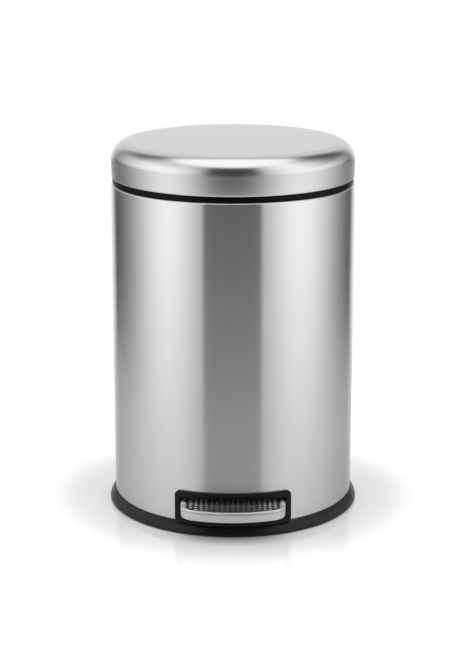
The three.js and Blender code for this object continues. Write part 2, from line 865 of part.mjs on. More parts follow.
function makePushRod() {
  const headFront = hingeY - crankRadius - leverPinRadius - rodSlotEndGap;
  const headRear = crankPinY + leverPinRadius + rodSlotEndGap;
  const headSlotHalf = leverPinRadius + rodSlotHeightGap;
  const headBottom = crankPinHeight - headSlotHalf;
  const headTop = crankPinHeight + headSlotHalf;
  const footFront = rodY - leverPinRadius - rodFootSlotGap;
  const footRear = rodY + leverPinRadius + rodFootSlotGap;
  const footSlotHalf = leverPinRadius + rodSlotEndGap;
  const footBottom = leverPinHeight - footSlotHalf;
  const barBottom = leverPinHeight + leverEyeRadius + runningGap;
  const bar = upright(rodRadius, barBottom, headBottom, 0, rodY);
  const head = rodPlate(headFront - rodSlotWall, headRear + rodSlotWall,
    headBottom - rodSlotWall, headTop + rodSlotWall);
  const foot = rodPlate(footFront - rodSlotWall, footRear + rodSlotWall,
    footBottom - rodSlotWall, barBottom + rodSlotWall);
  return unite([bar, head, foot])
    .subtract(rodSlot(headFront, headRear, headBottom, headTop))
    .subtract(rodSlot(footFront, footRear, footBottom, leverPinHeight + footSlotHalf));
}

function makeLowerGuide() {
  const bore = rodRadius + seatGap;
  const flangeBottom = deckTopHeight + seatGap;
  const sleeve = upright(bore + guideWall, deckTopHeight - guideDepth,
    flangeBottom + guideFlangeThickness, 0, rodY);
  const flange = upright(bore + guideWall + guideFlange, flangeBottom,
    flangeBottom + guideFlangeThickness, 0, rodY);
  return sleeve.add(flange)
    .subtract(upright(bore, 0, bodyTopHeight, 0, rodY));
}

function makeUpperGuide() {
  const holes = [-guideScrewSpread, guideScrewSpread].map((x) => depthBar(
    smallScrewShankRadius + seatGap, 0, bodyRadius, x, (upperGuideBottom + upperGuideTop) / 2));
  return block(
    [-upperGuideHalfWidth, upperGuideFront, upperGuideBottom],
    [upperGuideHalfWidth, bodyRadius, upperGuideTop],
  )
    .intersect(upright(backplateInnerRadius - seatGap, 0, bodyTopHeight, 0, 0, visibleRingSides))
    .subtract(upright(rodRadius + seatGap, 0, bodyTopHeight, 0, rodY))
    .subtract(unite(holes));
}

function makeGuideScrew(x) {
  const height = (upperGuideBottom + upperGuideTop) / 2;
  const headRear = upperGuideFront - seatGap;
  return depthBar(smallScrewHeadRadius, headRear - smallScrewHeadHeight, headRear, x, height)
    .add(depthBar(smallScrewShankRadius, headRear - smallScrewHeadHeight,
      backplateOuterRadius - seatGap, x, height));
}

// Hinge on the back
function makeHingeBackplate() {
  const outline = roundedRectangle(
    backplateHalfWidth, backplateBottom, backplateTop, smallScrewHeadRadius);
  const guideHoles = [-guideScrewSpread, guideScrewSpread].map((x) => depthBar(
    smallScrewShankRadius + seatGap, 0, bodyRadius, x, (upperGuideBottom + upperGuideTop) / 2));
  return sunk(outline, bodyRadius / 2, bodyRadius)
    .intersect(tube(backplateInnerRadius, backplateOuterRadius, 0, bodyTopHeight,
      visibleRingSides))
    .subtract(rearNotch(rearNotchHalfWidth))
    .subtract(hingeScrewHoles(screwShankRadius + seatGap))
    .subtract(unite(guideHoles));
}

function housingPlan() {
  const shape = new THREE.Shape();
  const cornerX = housingHalfWidth - housingCorner;
  const cornerY = housingRear - housingCorner;
  shape.moveTo(-housingHalfWidth, bodyRadius / 2);
  shape.lineTo(housingHalfWidth, bodyRadius / 2);
  shape.absarc(cornerX, cornerY, housingCorner, 0, Math.PI / 2);
  shape.absarc(-cornerX, cornerY, housingCorner, Math.PI / 2, Math.PI);
  shape.closePath();
  return shape;
}

function housingSide() {
  const shape = new THREE.Shape();
  shape.moveTo(bodyRadius / 2, housingBottom);
  shape.lineTo(housingRear - housingBottomSlant, housingBottom);
  shape.lineTo(housingRear, housingBottom + housingBottomSlant);
  shape.absarc(housingRear - housingTopRound, housingTop - housingTopRound, housingTopRound,
    0, Math.PI / 2);
  shape.lineTo(bodyRadius / 2, housingTop);
  shape.closePath();
  return shape;
}

function makeHingeHousing() {
  const rearInside = housingRear - housingWall;
  const cavity = block(
    [-housingCavityHalfWidth, 0, housingCavityBottom],
    [housingCavityHalfWidth, rearInside, housingTop + cutOverrun],
  );
  const lowerCavity = block(
    [-housingCavityHalfWidth, 0, housingBottom + housingWall],
    [housingCavityHalfWidth, rearInside - housingBottomSlant, housingCavityBottom + cutOverrun],
  );
  const pocketInner = housingCavityHalfWidth + housingEarThickness;
  const pocketOuter = housingHalfWidth - housingSideWall;
  const pockets = [[-pocketOuter, -pocketInner], [pocketInner, pocketOuter]].map(
    ([left, right]) => block(
      [left, 0, housingCavityBottom],
      [right, rearInside - housingCorner / 2, housingPocketTop],
    ));
  return raised(housingPlan(), housingBottom, housingTop)
    .intersect(spread(housingSide(), -housingHalfWidth, housingHalfWidth))
    .subtract(upright(shellSeatRadius, 0, totalHeight, 0, 0, visibleRingSides))
    .subtract(unite([cavity, lowerCavity, ...pockets]))
    .subtract(crossBar(hingePinRadius + seatGap, -bodyRadius, bodyRadius, hingeY, hingeHeight))
    .subtract(hingeScrewHoles(screwShankRadius + seatGap));
}

function makeHingePin() {
  return crossBar(hingePinRadius, -hingePinHalfLength, hingePinHalfLength, hingeY, hingeHeight);
}

function makeHingeScrew(x) {
  const headRear = backplateInnerRadius - hingeScrewHeadSink;
  return depthBar(screwHeadRadius, headRear - screwHeadHeight, headRear, x, hingeScrewHeight)
    .add(depthBar(screwShankRadius, headRear - screwHeadHeight,
      bodyRadius + hingeScrewReach - seatGap, x, hingeScrewHeight));
}

// Lid
function lidProfile(outerRadius, fillet, top, bottom) {
  const centreHeight = top - fillet;
  return [
    [outerRadius, bottom],
    ...arcPoints(outerRadius - fillet, centreHeight, fillet, 0, Math.PI / 2, filletSteps),
    [0, top],
  ];
}

function makeLidShell() {
  const hemTop = lidRimHeight + lidHemHeight;
  const inside = lidProfile(lidRadius - sheetThickness, lidFilletRadius - sheetThickness,
    totalHeight - sheetThickness, hemTop);
  return turned([
    [0, totalHeight - sheetThickness],
    ...inside.slice(0, -1).reverse(),
    [lidRadius - 2 * sheetThickness, hemTop],
    [lidRadius - 2 * sheetThickness, lidRimHeight],
    ...lidProfile(lidRadius, lidFilletRadius, totalHeight, lidRimHeight),
  ], visibleRingSides);
}

function makeLidLiner() {
  const top = totalHeight - sheetThickness - seatGap;
  const fillet = lidFilletRadius - sheetThickness - seatGap;
  const outside = lidProfile(linerRadius, fillet, top, linerBottom);
  const inside = lidProfile(linerRadius - linerThickness, fillet - linerThickness,
    top - linerThickness, linerBottom);
  const liner = turned([...inside.reverse(), ...outside], hiddenRingSides);
  const padFront = bracketPlateY + bracketPlateThickness + seatGap;
  const pad = block(
    [-linerPadHalfWidth, padFront, linerBottom],
    [linerPadHalfWidth, linerRadius, lidPlateTop],
  ).intersect(upright(linerRadius - linerThickness / 2, 0, totalHeight, 0, 0, hiddenRingSides));
  const holes = [-lidScrewSpread, lidScrewSpread].map((x) => depthBar(
    smallScrewShankRadius + seatGap, 0, padFront + lidScrewReach, x, lidScrewHeight));
  return liner.add(pad).subtract(unite(holes));
}

function cheekOutline() {
  const plateRear = bracketPlateY + bracketPlateThickness;
  const shoulder = topRingTop - 2 * runningGap;
  const shape = new THREE.Shape();
  shape.moveTo(plateRear, lidPlateTop);
  shape.lineTo(bracketPlateY, lidPlateTop);
  shape.absarc(crankPinY, crankPinHeight, crankEyeRadius, Math.PI, Math.PI * 5 / 3);
  shape.absarc(hingeY, hingeHeight, knuckleRadius, -Math.PI / 3, Math.PI / 2);
  shape.lineTo(linerRadius - linerThickness, shoulder);
  shape.lineTo(plateRear + bracketPlateThickness, lidPlateBottom);
  shape.lineTo(plateRear, linerBottom - seatGap);
  shape.closePath();
  return shape;
}

function makeLidBracket() {
  const plate = block(
    [-lidPlateHalfWidth, bracketPlateY, lidPlateBottom],
    [lidPlateHalfWidth, bracketPlateY + bracketPlateThickness, lidPlateTop],
  );
  const outer = cheekInnerHalfWidth + cheekThickness;
  const holes = [-lidScrewSpread, lidScrewSpread].map((x) => depthBar(
    smallScrewShankRadius + seatGap, 0, linerRadius, x, lidScrewHeight));
  return plate
    .add(spread(cheekOutline(), cheekInnerHalfWidth, outer))
    .add(spread(cheekOutline(), -outer, -cheekInnerHalfWidth))
    .subtract(crossBar(hingePinRadius + seatGap, -bodyRadius, bodyRadius, hingeY, hingeHeight))
    .subtract(crossBar(leverPinRadius + seatGap, -bodyRadius, bodyRadius,
      crankPinY, crankPinHeight))
    .subtract(unite(holes));
}

function makeCrankPin() {
  return crossBar(leverPinRadius, -crankPinHalfLength, crankPinHalfLength,
    crankPinY, crankPinHeight);
}

function makeLidScrew(x) {
  const headRear = bracketPlateY - seatGap;
  const padFront = bracketPlateY + bracketPlateThickness + seatGap;
  return depthBar(smallScrewHeadRadius, headRear - smallScrewHeadHeight, headRear,
    x, lidScrewHeight)
    .add(depthBar(smallScrewShankRadius, headRear - smallScrewHeadHeight,
      padFront + lidScrewReach - seatGap, x, lidScrewHeight));
}

function makeBumper(angle) {
  const ring = tube(bumperOuterRadius - bumperWidth, bumperOuterRadius,
    topRingTop + seatGap, linerBottom - seatGap, hiddenRingSides);
  const keeper = new THREE.BoxGeometry(bodyRadius, 2 * bumperHalfLength, 2 * totalHeight);
  keeper.translate(bodyRadius, 0, 0);
  keeper.rotateZ(angle * degree);
  return ring.intersect(toSolid(keeper));
}

// Bucket
function bucketBody(bottomRadius, topRadius, bottom, top, round) {
  return turned([
    [0, bottom],
    [bottomRadius - round, bottom],
    [bottomRadius, bottom + round],
    [topRadius, top],
    [0, top],
  ], hiddenRingSides);
}

function frontOf(y) {
  return block([-totalHeight, -totalHeight, -cutOverrun], [totalHeight, y, 2 * totalHeight]);
}

function makeBucket() {
  const bottom = deckTopHeight + seatGap;
  const outside = bucketBody(bucketBottomRadius, bucketTopRadius, bottom, bucketRimHeight,
    bucketFootRound).intersect(frontOf(bucketFlatY));
  const inside = bucketBody(bucketBottomRadius - bucketWall, bucketTopRadius - bucketWall,
    bottom + bucketFloor, bucketRimHeight + cutOverrun, bucketFootRound)
    .intersect(frontOf(bucketFlatY - bucketWall));
  const rim = tube(bucketTopRadius - bucketWall, bucketRimRadius,
    bucketRimHeight - bucketRimThickness, bucketRimHeight, hiddenRingSides)
    .intersect(frontOf(bucketRimFlatY));
  const earOuter = handleRadius - wireRadius - 2 * seatGap;
  const ears = [-1, 1].map((side) => {
    const inner = side * (earOuter - earThickness);
    const outer = side * earOuter;
    return block(
      [Math.min(inner, outer), -earHalfLength, bucketRimHeight - earInset],
      [Math.max(inner, outer), earHalfLength, bucketRimHeight + earHeight],
    );
  });
  const earHole = crossBar(wireRadius + seatGap, -bodyRadius, bodyRadius, 0, handleHeight);
  return outside.add(rim).subtract(inside).add(unite(ears)).subtract(earHole);
}

class HandleArc extends THREE.Curve {
  getPoint(share, target = new THREE.Vector3()) {
    const angle = -Math.PI * share;
    return target.set(handleRadius * Math.cos(angle), handleRadius * Math.sin(angle), handleHeight);
  }
}

function makeBucketHandle() {
  const section = new THREE.Shape();
  section.absarc(0, 0, wireRadius, 0, Math.PI * 2);
  const bow = new THREE.ExtrudeGeometry(section, {
    steps: handleSteps,
    curveSegments: wireSides / 2,
    extrudePath: new HandleArc(),
  });
  const outer = handleRadius + wireRadius;
  const hooks = [-1, 1].map((side) => crossBar(wireRadius,
    Math.min(side * (handleRadius - handleHook), side * outer),
    Math.max(side * (handleRadius - handleHook), side * outer),
    0, handleHeight, wireSides));
  return unite([toSolid(bow), ...hooks]);
}

// The whole can
const can = new THREE.Group();

function place(name, solid, material) {
  const mesh = new THREE.Mesh(toGeometry(solid), material);
  mesh.name = name;
  can.add(mesh);
}

const footNames = ['foot_rear_right', 'foot_rear_left', 'foot_front_left', 'foot_front_right'];
footNames.forEach((name, i) => place(name, makeFoot(footAngles[i]), blackRubber()));
place('base_ring', makeBaseRing(), blackPlastic());
place('deck', makeDeck(), blackPlastic());
place('outer_shell', makeOuterShell(), brushedSteel());
place('top_ring', makeTopRing(), blackPlastic());
place('pedal_surround', makePedalSurround(), blackPlastic());

place('pedal_tray', makePedalTray(), satinTrayMetal());
place('pedal_pad', makePedalPad(), blackRubber());
place('pedal_lever', makePedalLever(), platedSteel());
place('pedal_bush', makePedalBush(), naturalNylon());
place('lever_pin', makeLeverPin(), platedSteel());
rivetPlaces().forEach(([x, y], i) => {
  place(`pedal_rivet_${['left', 'right'][i]}`, makePedalRivet(x, y), platedSteel());
});

place('pedal_axle', makePedalAxle(), platedSteel());
place('pedal_bracket', makePedalBracket(), platedSteel());
place('push_rod', makePushRod(), platedSteel());
place('rod_guide_lower', makeLowerGuide(), naturalNylon());
place('rod_guide_upper', makeUpperGuide(), naturalNylon());

place('hinge_housing', makeHingeHousing(), blackPlastic());
place('hinge_backplate', makeHingeBackplate(), platedSteel());
place('hinge_pin', makeHingePin(), platedSteel());

place('lid_shell', makeLidShell(), brushedSteel());
place('lid_liner', makeLidLiner(), blackPlastic());
place('lid_bracket', makeLidBracket(), platedSteel());
place('crank_pin', makeCrankPin(), platedSteel());

for (const [name, side] of [['left', -1], ['right', 1]]) {
  place(`axle_clip_${name}`, makeAxleClip(side), platedSteel());
  place(`bracket_screw_${name}`, makeBracketScrew(side * bracketScrewSpread), platedSteel());
  place(`guide_screw_${name}`, makeGuideScrew(side * guideScrewSpread), platedSteel());
  place(`hinge_screw_${name}`, makeHingeScrew(side * hingeScrewSpread), platedSteel());
  place(`lid_screw_${name}`, makeLidScrew(side * lidScrewSpread), platedSteel());
}
for (const [name, angle] of Object.entries(bumperAngles)) {
  place(`bumper_${name}`, makeBumper(angle), blackRubber());
}

place('bucket', makeBucket(), greyPlastic());
place('bucket_handle', makeBucketHandle(), platedSteel());

export default can;
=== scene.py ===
# %% [markdown]
# A pedal trash can, dressed around its working frame.
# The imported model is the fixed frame: every hinge, pin and screw is already where it works.
# Here the larger pieces are modelled again with finer curves, every piece gets a finish,
# and each one rides on the body that moves it. Lengths are metres, +Z is up, the pedal faces -Y.

# %% Frame and tools
import json
import math

import bpy
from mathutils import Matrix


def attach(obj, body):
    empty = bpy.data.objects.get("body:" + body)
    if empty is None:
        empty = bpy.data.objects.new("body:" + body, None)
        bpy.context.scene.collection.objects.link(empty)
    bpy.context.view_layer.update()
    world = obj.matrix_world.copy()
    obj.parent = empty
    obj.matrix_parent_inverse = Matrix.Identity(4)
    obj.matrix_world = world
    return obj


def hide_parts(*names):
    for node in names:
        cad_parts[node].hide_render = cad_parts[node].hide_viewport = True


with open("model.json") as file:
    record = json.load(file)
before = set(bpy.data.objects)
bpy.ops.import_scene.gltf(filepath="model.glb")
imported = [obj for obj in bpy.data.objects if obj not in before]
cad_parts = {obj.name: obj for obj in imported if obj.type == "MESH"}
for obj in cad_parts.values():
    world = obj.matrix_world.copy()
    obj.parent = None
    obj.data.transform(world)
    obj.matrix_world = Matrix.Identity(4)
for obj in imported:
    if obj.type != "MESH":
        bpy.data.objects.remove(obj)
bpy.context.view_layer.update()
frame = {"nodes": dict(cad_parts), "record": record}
nodes = frame["nodes"]
MM = 0.001

# %% [markdown]
# Measures.
# The same sizes as in the source of the solids, in millimetres, because a piece that stands
# for a solid has to stay where that solid is.

# %% Measures
BODY_R, SHEET = 125.0, 0.6
SHELL_BOTTOM, BODY_TOP = 4.3, 339.6
LID_RIM, LID_TOP, LID_R, LID_FILLET = 345.7, 382.4, 124.5, 19.3
BASE_TOP, BASE_R = 11.9, 130.7
FRAME_HALF, FRAME_LOW, FRAME_HIGH = 58.8, 9.5, 45.0
TRAY_HALF, TRAY_FRONT, TRAY_BOTTOM, TRAY_REAR = 52.5, 149.0, 22.6, 100.0
PAD_HALF, PAD_BOTTOM = 47.0, 31.4
FOOT_CIRCLE_R, FOOT_POCKET_R = 118.5, 7.3
BORE_R = 125.3
HINGE_Y, HINGE_Z = 134, 338
SCREW_X, SCREW_Z, SCREW_HOLE_R = 27.5, 308, 2.1
HANDLE_Z, WIRE_R = 330.1, 1.8
DOOR = (-55.7, -126, 0), (55.7, -60, 42.7)
NOTCH = (-19, 60, 319.5), (19, 146, LID_RIM)
SIDES = 256
TINY = 1e-6

# %% [markdown]
# Hand tools.
# Small tools do most of the modelling. `fresh` lets go of everything, because the frame
# comes in selected. `rings` turns a round piece as a potter would: it starts from one
# circle and carries the edge on, by extruding and resizing, through a list of radii and
# heights. `rounding` lists the stations of a bend, so that no edge is sharp. `block` and
# `bar` make square and round bodies, and `cut_with` takes one out of a piece. `settle` is
# the last step of every piece: it gives the name and smooths the round faces.

# %% Hand tools
def fresh():
    """Leaves edit mode and lets go of every object."""
    if bpy.context.object and bpy.context.object.mode != "OBJECT":
        bpy.ops.object.mode_set(mode="OBJECT")
    bpy.ops.object.select_all(action="DESELECT")


def settle(piece, name, angle=35):
    """Names the piece, puts its origin on the floor point and smooths its round faces."""
    fresh()
    piece.name = piece.data.name = name
    piece.select_set(True)
    bpy.context.view_layer.objects.active = piece
    bpy.ops.object.transform_apply(location=True, rotation=True, scale=True)
    bpy.ops.object.mode_set(mode="EDIT")
    bpy.ops.mesh.select_all(action="SELECT")
    bpy.ops.mesh.remove_doubles(threshold=TINY)
    bpy.ops.mesh.normals_make_consistent(inside=False)
    bpy.ops.object.mode_set(mode="OBJECT")
    bpy.ops.object.shade_smooth_by_angle(angle=math.radians(angle))
    fresh()
    print(name, len(piece.data.polygons), "faces")
    return piece


def rounding(radius_mid, height_mid, bend, start, end, steps=8):
    """Stations [radius, height] along an arc in the section, angles in degrees."""
    turn = [math.radians(start + (end - start) * i / steps) for i in range(steps + 1)]
    return [(radius_mid + bend * math.cos(t), height_mid + bend * math.sin(t)) for t in turn]


def carry_edge(radius, height, stations):
    """Carries the held edge on through stations, to a point where one lies on the axis."""
    for next_radius, next_height in stations:
        rise = (next_height - height) * MM
        bpy.ops.mesh.extrude_edges_move(TRANSFORM_OT_translate={"value": (0, 0, rise)})
        if next_radius == 0:
            bpy.ops.mesh.merge(type="CENTER")
            break
        size = next_radius / radius
        bpy.ops.transform.resize(value=(size, size, 1), center_override=(0, 0, 0),
                                 constraint_axis=(True, True, False))
        radius, height = next_radius, next_height


def rings(name, stations, closed=True, angle=35):
    """Turns a round piece through stations of [radius, height] in millimetres."""
    fresh()
    radius, height = stations[0]
    bpy.ops.mesh.primitive_circle_add(vertices=SIDES, radius=radius * MM,
                                      location=(0, 0, height * MM))
    piece = bpy.context.object
    bpy.ops.object.transform_apply(location=True)
    bpy.ops.object.mode_set(mode="EDIT")
    bpy.ops.mesh.select_all(action="SELECT")
    carry_edge(radius, height, stations[1:] + (stations[:1] if closed else []))
    return settle(piece, name, angle)


def cut_with(piece, cutter):
    """Takes the cutter's shape out of the piece, then throws the cutter away."""
    fresh()
    bpy.context.view_layer.objects.active = piece
    piece.select_set(True)
    cut = piece.modifiers.new("cut", "BOOLEAN")
    cut.operation, cut.solver, cut.object = "DIFFERENCE", "EXACT", cutter
    bpy.ops.object.modifier_apply(modifier=cut.name)
    bpy.data.objects.remove(cutter)
    fresh()


def gather(pieces):
    """Joins pieces into the first of them."""
    fresh()
    for piece in pieces:
        piece.select_set(True)
    bpy.context.view_layer.objects.active = pieces[0]
    bpy.ops.object.join()
    return pieces[0]


def pick_edges(piece, test):
    """Goes into edit mode with only those edges held whose two ends pass the test."""
    bpy.context.view_layer.objects.active = piece
    bpy.ops.object.mode_set(mode="EDIT")
    bpy.ops.mesh.select_mode(type="EDGE")
    bpy.ops.mesh.select_all(action="DESELECT")
    bpy.ops.object.mode_set(mode="OBJECT")
    points = piece.data.vertices
    for edge in piece.data.edges:
        edge.select = test(*(points[i].co for i in edge.vertices))
    bpy.ops.object.mode_set(mode="EDIT")


def hold_open_edge(piece):
    """Goes into edit mode with only the piece's open edge held."""
    bpy.context.view_layer.objects.active = piece
    bpy.ops.object.mode_set(mode="EDIT")
    bpy.ops.mesh.select_mode(type="EDGE")
    bpy.ops.mesh.select_all(action="DESELECT")
    bpy.ops.mesh.select_non_manifold(extend=False, use_boundary=True)


def hold_faces(piece, test):
    """Goes into edit mode with only the faces held that pass the test."""
    bpy.ops.mesh.select_all(action="DESELECT")
    bpy.ops.object.mode_set(mode="OBJECT")
    for face in piece.data.polygons:
        face.select = test(face)
    bpy.ops.object.mode_set(mode="EDIT")


def block(low, high, corner=0, along="Y"):
    """A box between two corners in millimetres, its four edges along one axis rounded."""
    fresh()
    middle = [(a + b) / 2 * MM for a, b in zip(low, high)]
    bpy.ops.mesh.primitive_cube_add(size=1, location=middle)
    piece = bpy.context.object
    piece.scale = [(b - a) * MM for a, b in zip(low, high)]
    bpy.ops.object.transform_apply(location=True, rotation=True, scale=True)
    if corner:
        axis = "XYZ".index(along)
        pick_edges(piece, lambda a, b: abs(a[axis] - b[axis]) > TINY)
        bpy.ops.mesh.bevel(offset=corner * MM, segments=6)
        bpy.ops.object.mode_set(mode="OBJECT")
    return piece


def bar(radius, low, high, along, across, height, sides=32):
    """A round bar along X, Y or Z between two places in millimetres.

    For a bar along Z, `across` and `height` are its X and Y."""
    fresh()
    middle = (low + high) / 2
    spot, lie = {
        "X": ((middle, across, height), (0, math.pi / 2, 0)),
        "Y": ((across, middle, height), (math.pi / 2, 0, 0)),
        "Z": ((across, height, middle), (0, 0, 0)),
    }[along]
    bpy.ops.mesh.primitive_cylinder_add(vertices=sides, radius=radius * MM,
                                        depth=(high - low) * MM, rotation=lie,
                                        location=[value * MM for value in spot])
    return bpy.context.object


print("hand tools ready")

# %% [markdown]
# Body.
# The body is one sheet of steel rolled into a drum, its top edge curled inward over the
# ring. It is turned in rings, outside first and back down the inside, and the door for the
# pedal and the notch for the hinge are then cut out of it.

# %% Body
shell = rings("body_shell", [
    (BODY_R - 0.3, SHELL_BOTTOM),
    (BODY_R - 0.3, BASE_TOP + 0.2),
    (BODY_R - 0.08, BASE_TOP + 0.7),
    (BODY_R, BASE_TOP + 1.5),
    (BODY_R, 120),
    (BODY_R, 230),
    *rounding(BODY_R - 2, BODY_TOP - 2, 2, 0, 90),
    *rounding(BODY_R - 2, BODY_TOP - 2, 2 - SHEET, 90, 0, 4),
    (BODY_R - SHEET, SHELL_BOTTOM),
])
cut_with(shell, block(*DOOR, 5))
cut_with(shell, block(*NOTCH, 2))
for side in (-1, 1):
    cut_with(shell, bar(SCREW_HOLE_R, 90, 150, "Y", side * SCREW_X, SCREW_Z))
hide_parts("outer_shell")
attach(shell, "root")

# %% [markdown]
# Lid.
# The lid is pressed from the same steel: flat on top, a wide even bend, a short straight
# side and a hem turned in at the rim, which shows as a bright line above the black ring.

# %% Lid
lid_bend_r = LID_R - LID_FILLET
lid_bend_z = LID_TOP - LID_FILLET
hem_r, hem_top = LID_R - 3 * SHEET, LID_RIM + 4
lid = rings("lid_dome", [
    (hem_r, hem_top),
    (hem_r, LID_RIM + 0.4),
    *rounding(LID_R - 1.1, LID_RIM + 0.6, 0.6, 180, 350, 8),
    (LID_R - 0.40, LID_RIM + 1.6),
    (LID_R - 0.26, LID_RIM + 4),
    (LID_R - 0.10, LID_RIM + 8),
    (LID_R, LID_RIM + 13),
    *rounding(lid_bend_r, lid_bend_z, LID_FILLET, 0, 90, 28),
    (70, LID_TOP), (35, LID_TOP), (0, LID_TOP),
], closed=False, angle=40)
hold_open_edge(lid)
carry_edge(hem_r, hem_top, [
    (LID_R - SHEET, hem_top),
    *rounding(lid_bend_r, lid_bend_z, LID_FILLET - SHEET, 0, 90, 14),
    (60, LID_TOP - SHEET), (0, LID_TOP - SHEET),
])
settle(lid, "lid_dome", 40)
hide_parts("lid_shell")
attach(lid, "lid")

# %% [markdown]
# Black ring.
# A moulded ring caps the body: the band that shows between steel and steel, a flat seat for
# the lid, and a skirt that grips inside the body. The band's two edges are softly rounded,
# which gives it the grey line of light along its middle.

# %% Black ring
RING_BORE_R, RING_R, RING_SEAT, RING_TOP = 118.5, 123.6, 342.8, 345.4
RING_LOW, SKIRT_R, SKIRT_WALL, SKIRT_LOW = 339.9, 122.4, 2.0, 324.9
INNER_BEND, BAND_BEND = 0.6, 0.9
ring = rings("rim_ring", [
    (RING_BORE_R, RING_SEAT),
    *rounding(RING_BORE_R + INNER_BEND, RING_TOP - INNER_BEND, INNER_BEND, 180, 90, 4),
    *rounding(RING_R - BAND_BEND, RING_TOP - BAND_BEND, BAND_BEND, 90, 0, 6),
    *rounding(RING_R - BAND_BEND, RING_LOW + BAND_BEND, BAND_BEND, 0, -90, 6),
    (SKIRT_R, RING_LOW),
    (SKIRT_R, SKIRT_LOW),
    (SKIRT_R - SKIRT_WALL, SKIRT_LOW),
    (SKIRT_R - SKIRT_WALL, RING_SEAT),
])
cut_with(ring, block(*NOTCH, 2))
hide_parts("top_ring")
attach(ring, "root")

# %% [markdown]
# Base ring.
# The foot of the can is a moulded ring with a hollow flare that runs out to a thin lip on
# the floor side. Its section is turned like the body, then the front is cut away for the
# pedal frame and four pockets are sunk for the feet.

# %% Base ring
FLARE_STEPS, FLARE_LOW, FLARE_WIDTH, FLARE_HOLLOW = 12, 1.8, 5.0, 1.7
climbed = [i / FLARE_STEPS for i in range(FLARE_STEPS + 1)]
flare = [(BASE_R - FLARE_WIDTH * share ** FLARE_HOLLOW,
          FLARE_LOW + (BASE_TOP - FLARE_LOW) * share) for share in climbed]
base = rings("foot_ring", [
    (108, 1),
    (BASE_R - 0.8, 1),
    (BASE_R - 0.25, 1.2),
    *flare,
    (BORE_R + 0.15, BASE_TOP),
    (BORE_R, BASE_TOP - 0.2),
    (BORE_R, 4),
    (108, 4),
])
cut_with(base, block((-59.1, -132, 9.2), (59.1, -60, 45), 6.3))
for angle in (45, 135, 225, 315):
    turn = math.radians(angle)
    cut_with(base, bar(FOOT_POCKET_R, -2.5, 2.5, "Z", FOOT_CIRCLE_R * math.cos(turn),
                       FOOT_CIRCLE_R * math.sin(turn), 48))
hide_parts("base_ring")
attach(base, "root")

# %% [markdown]
# Pedal frame.
# The frame around the pedal is drawn flat, like a picture frame: a plane with rounded
# corners is extruded and inset step by step, each step one facet of its moulding. Its rear
# is opened and joined to a sleeve through the door of the drum. Only then is it laid round
# the can, by moving every vertex back onto the drum, so that its corners keep their true
# width seen from the front.

# %% Pedal frame
def rounded_plane(half, low, high, corner, facing="Y", segments=8, rear=True):
    """A flat plate with round corners, in X and Z facing -Y, or in X and Y facing +Z.

    Without `rear` only the two corners on the low side are rounded."""
    fresh()
    bpy.ops.mesh.primitive_plane_add(size=1)
    plane = bpy.context.object
    plane.scale = (2 * half * MM, (high - low) * MM, 1)
    plane.location = (0, (low + high) / 2 * MM, 0)
    bpy.ops.object.transform_apply(location=True, rotation=True, scale=True)
    bpy.ops.object.mode_set(mode="EDIT")
    bpy.ops.mesh.select_mode(type="VERT")
    bpy.ops.mesh.select_all(action="DESELECT")
    bpy.ops.object.mode_set(mode="OBJECT")
    for vertex in plane.data.vertices:
        vertex.select = rear or vertex.co.y < (low + high) / 2 * MM
    bpy.ops.object.mode_set(mode="EDIT")
    bpy.ops.mesh.bevel(offset=corner * MM, segments=segments, affect="VERTICES")
    bpy.ops.object.mode_set(mode="OBJECT")
    long_edge = 1.2 * half * MM
    pick_edges(plane, lambda a, b: (a - b).length > long_edge)
    bpy.ops.mesh.subdivide(number_cuts=28)
    bpy.ops.object.mode_set(mode="OBJECT")
    if facing == "Y":
        plane.rotation_euler = (math.pi / 2, 0, 0)
        bpy.ops.object.transform_apply(location=True, rotation=True, scale=True)
    bpy.ops.object.mode_set(mode="EDIT")
    bpy.ops.mesh.select_mode(type="FACE")
    bpy.ops.mesh.select_all(action="SELECT")
    return plane


def push(y=0, z=0):
    """Extrudes the held face and carries it on, in millimetres."""
    bpy.ops.mesh.extrude_region_move(
        TRANSFORM_OT_translate={"value": (0, y * MM, z * MM)})


def step_in(across, out):
    """Insets the held face and raises it, in millimetres."""
    bpy.ops.mesh.inset(thickness=across * MM, depth=out * MM)


def hold_loop(piece, depth):
    """Holds the edges of a loop that lies at one depth, in millimetres behind the drum."""
    pick_edges(piece, lambda a, b: max(abs(a.y - depth * MM), abs(b.y - depth * MM)) < TINY)


SEAT, EDGE = -0.3, 1.1
RIM_STEPS = (0.1, 0.45), (0.25, 0.3), (0.35, 0.2), (0.5, 0.05), (2.9, 0.0)
LIP_STEPS = (0.5, -0.1), (0.5, -0.35), (0.35, -0.6)
LOWER_BAND_EXTRA = 1.3
SLEEVE_DEPTH, SLEEVE_HALF, SLEEVE_HALF_HEIGHT = 7.65, 55.3, 15.0
ARCH_LOW, ARCH_HALF, ARCH_X, ARCH_DROP = 36, 54.6, 50, 1.9
frame_piece = rounded_plane(FRAME_HALF, FRAME_LOW, FRAME_HIGH, 6)
bpy.ops.transform.translate(value=(0, SEAT * MM, 0))
push(y=-EDGE)
for across, out in RIM_STEPS:
    step_in(across, out)
band = sum(across for across, out in RIM_STEPS)
band_top, band_low = FRAME_HIGH - band, FRAME_LOW + band
bpy.ops.transform.resize(value=(1, 1, 1 - LOWER_BAND_EXTRA / (band_top - band_low)),
                         center_override=(0, 0, band_top * MM))
for across, out in LIP_STEPS:
    step_in(across, out)
push(y=SLEEVE_DEPTH)
bpy.ops.mesh.delete(type="FACE")
hold_faces(frame_piece, lambda face: abs(face.center.y - SEAT * MM) < TINY)
bpy.ops.mesh.delete(type="FACE")
bpy.ops.object.mode_set(mode="OBJECT")
sleeve = max(vertex.co.y for vertex in frame_piece.data.vertices) / MM
hold_loop(frame_piece, SEAT)
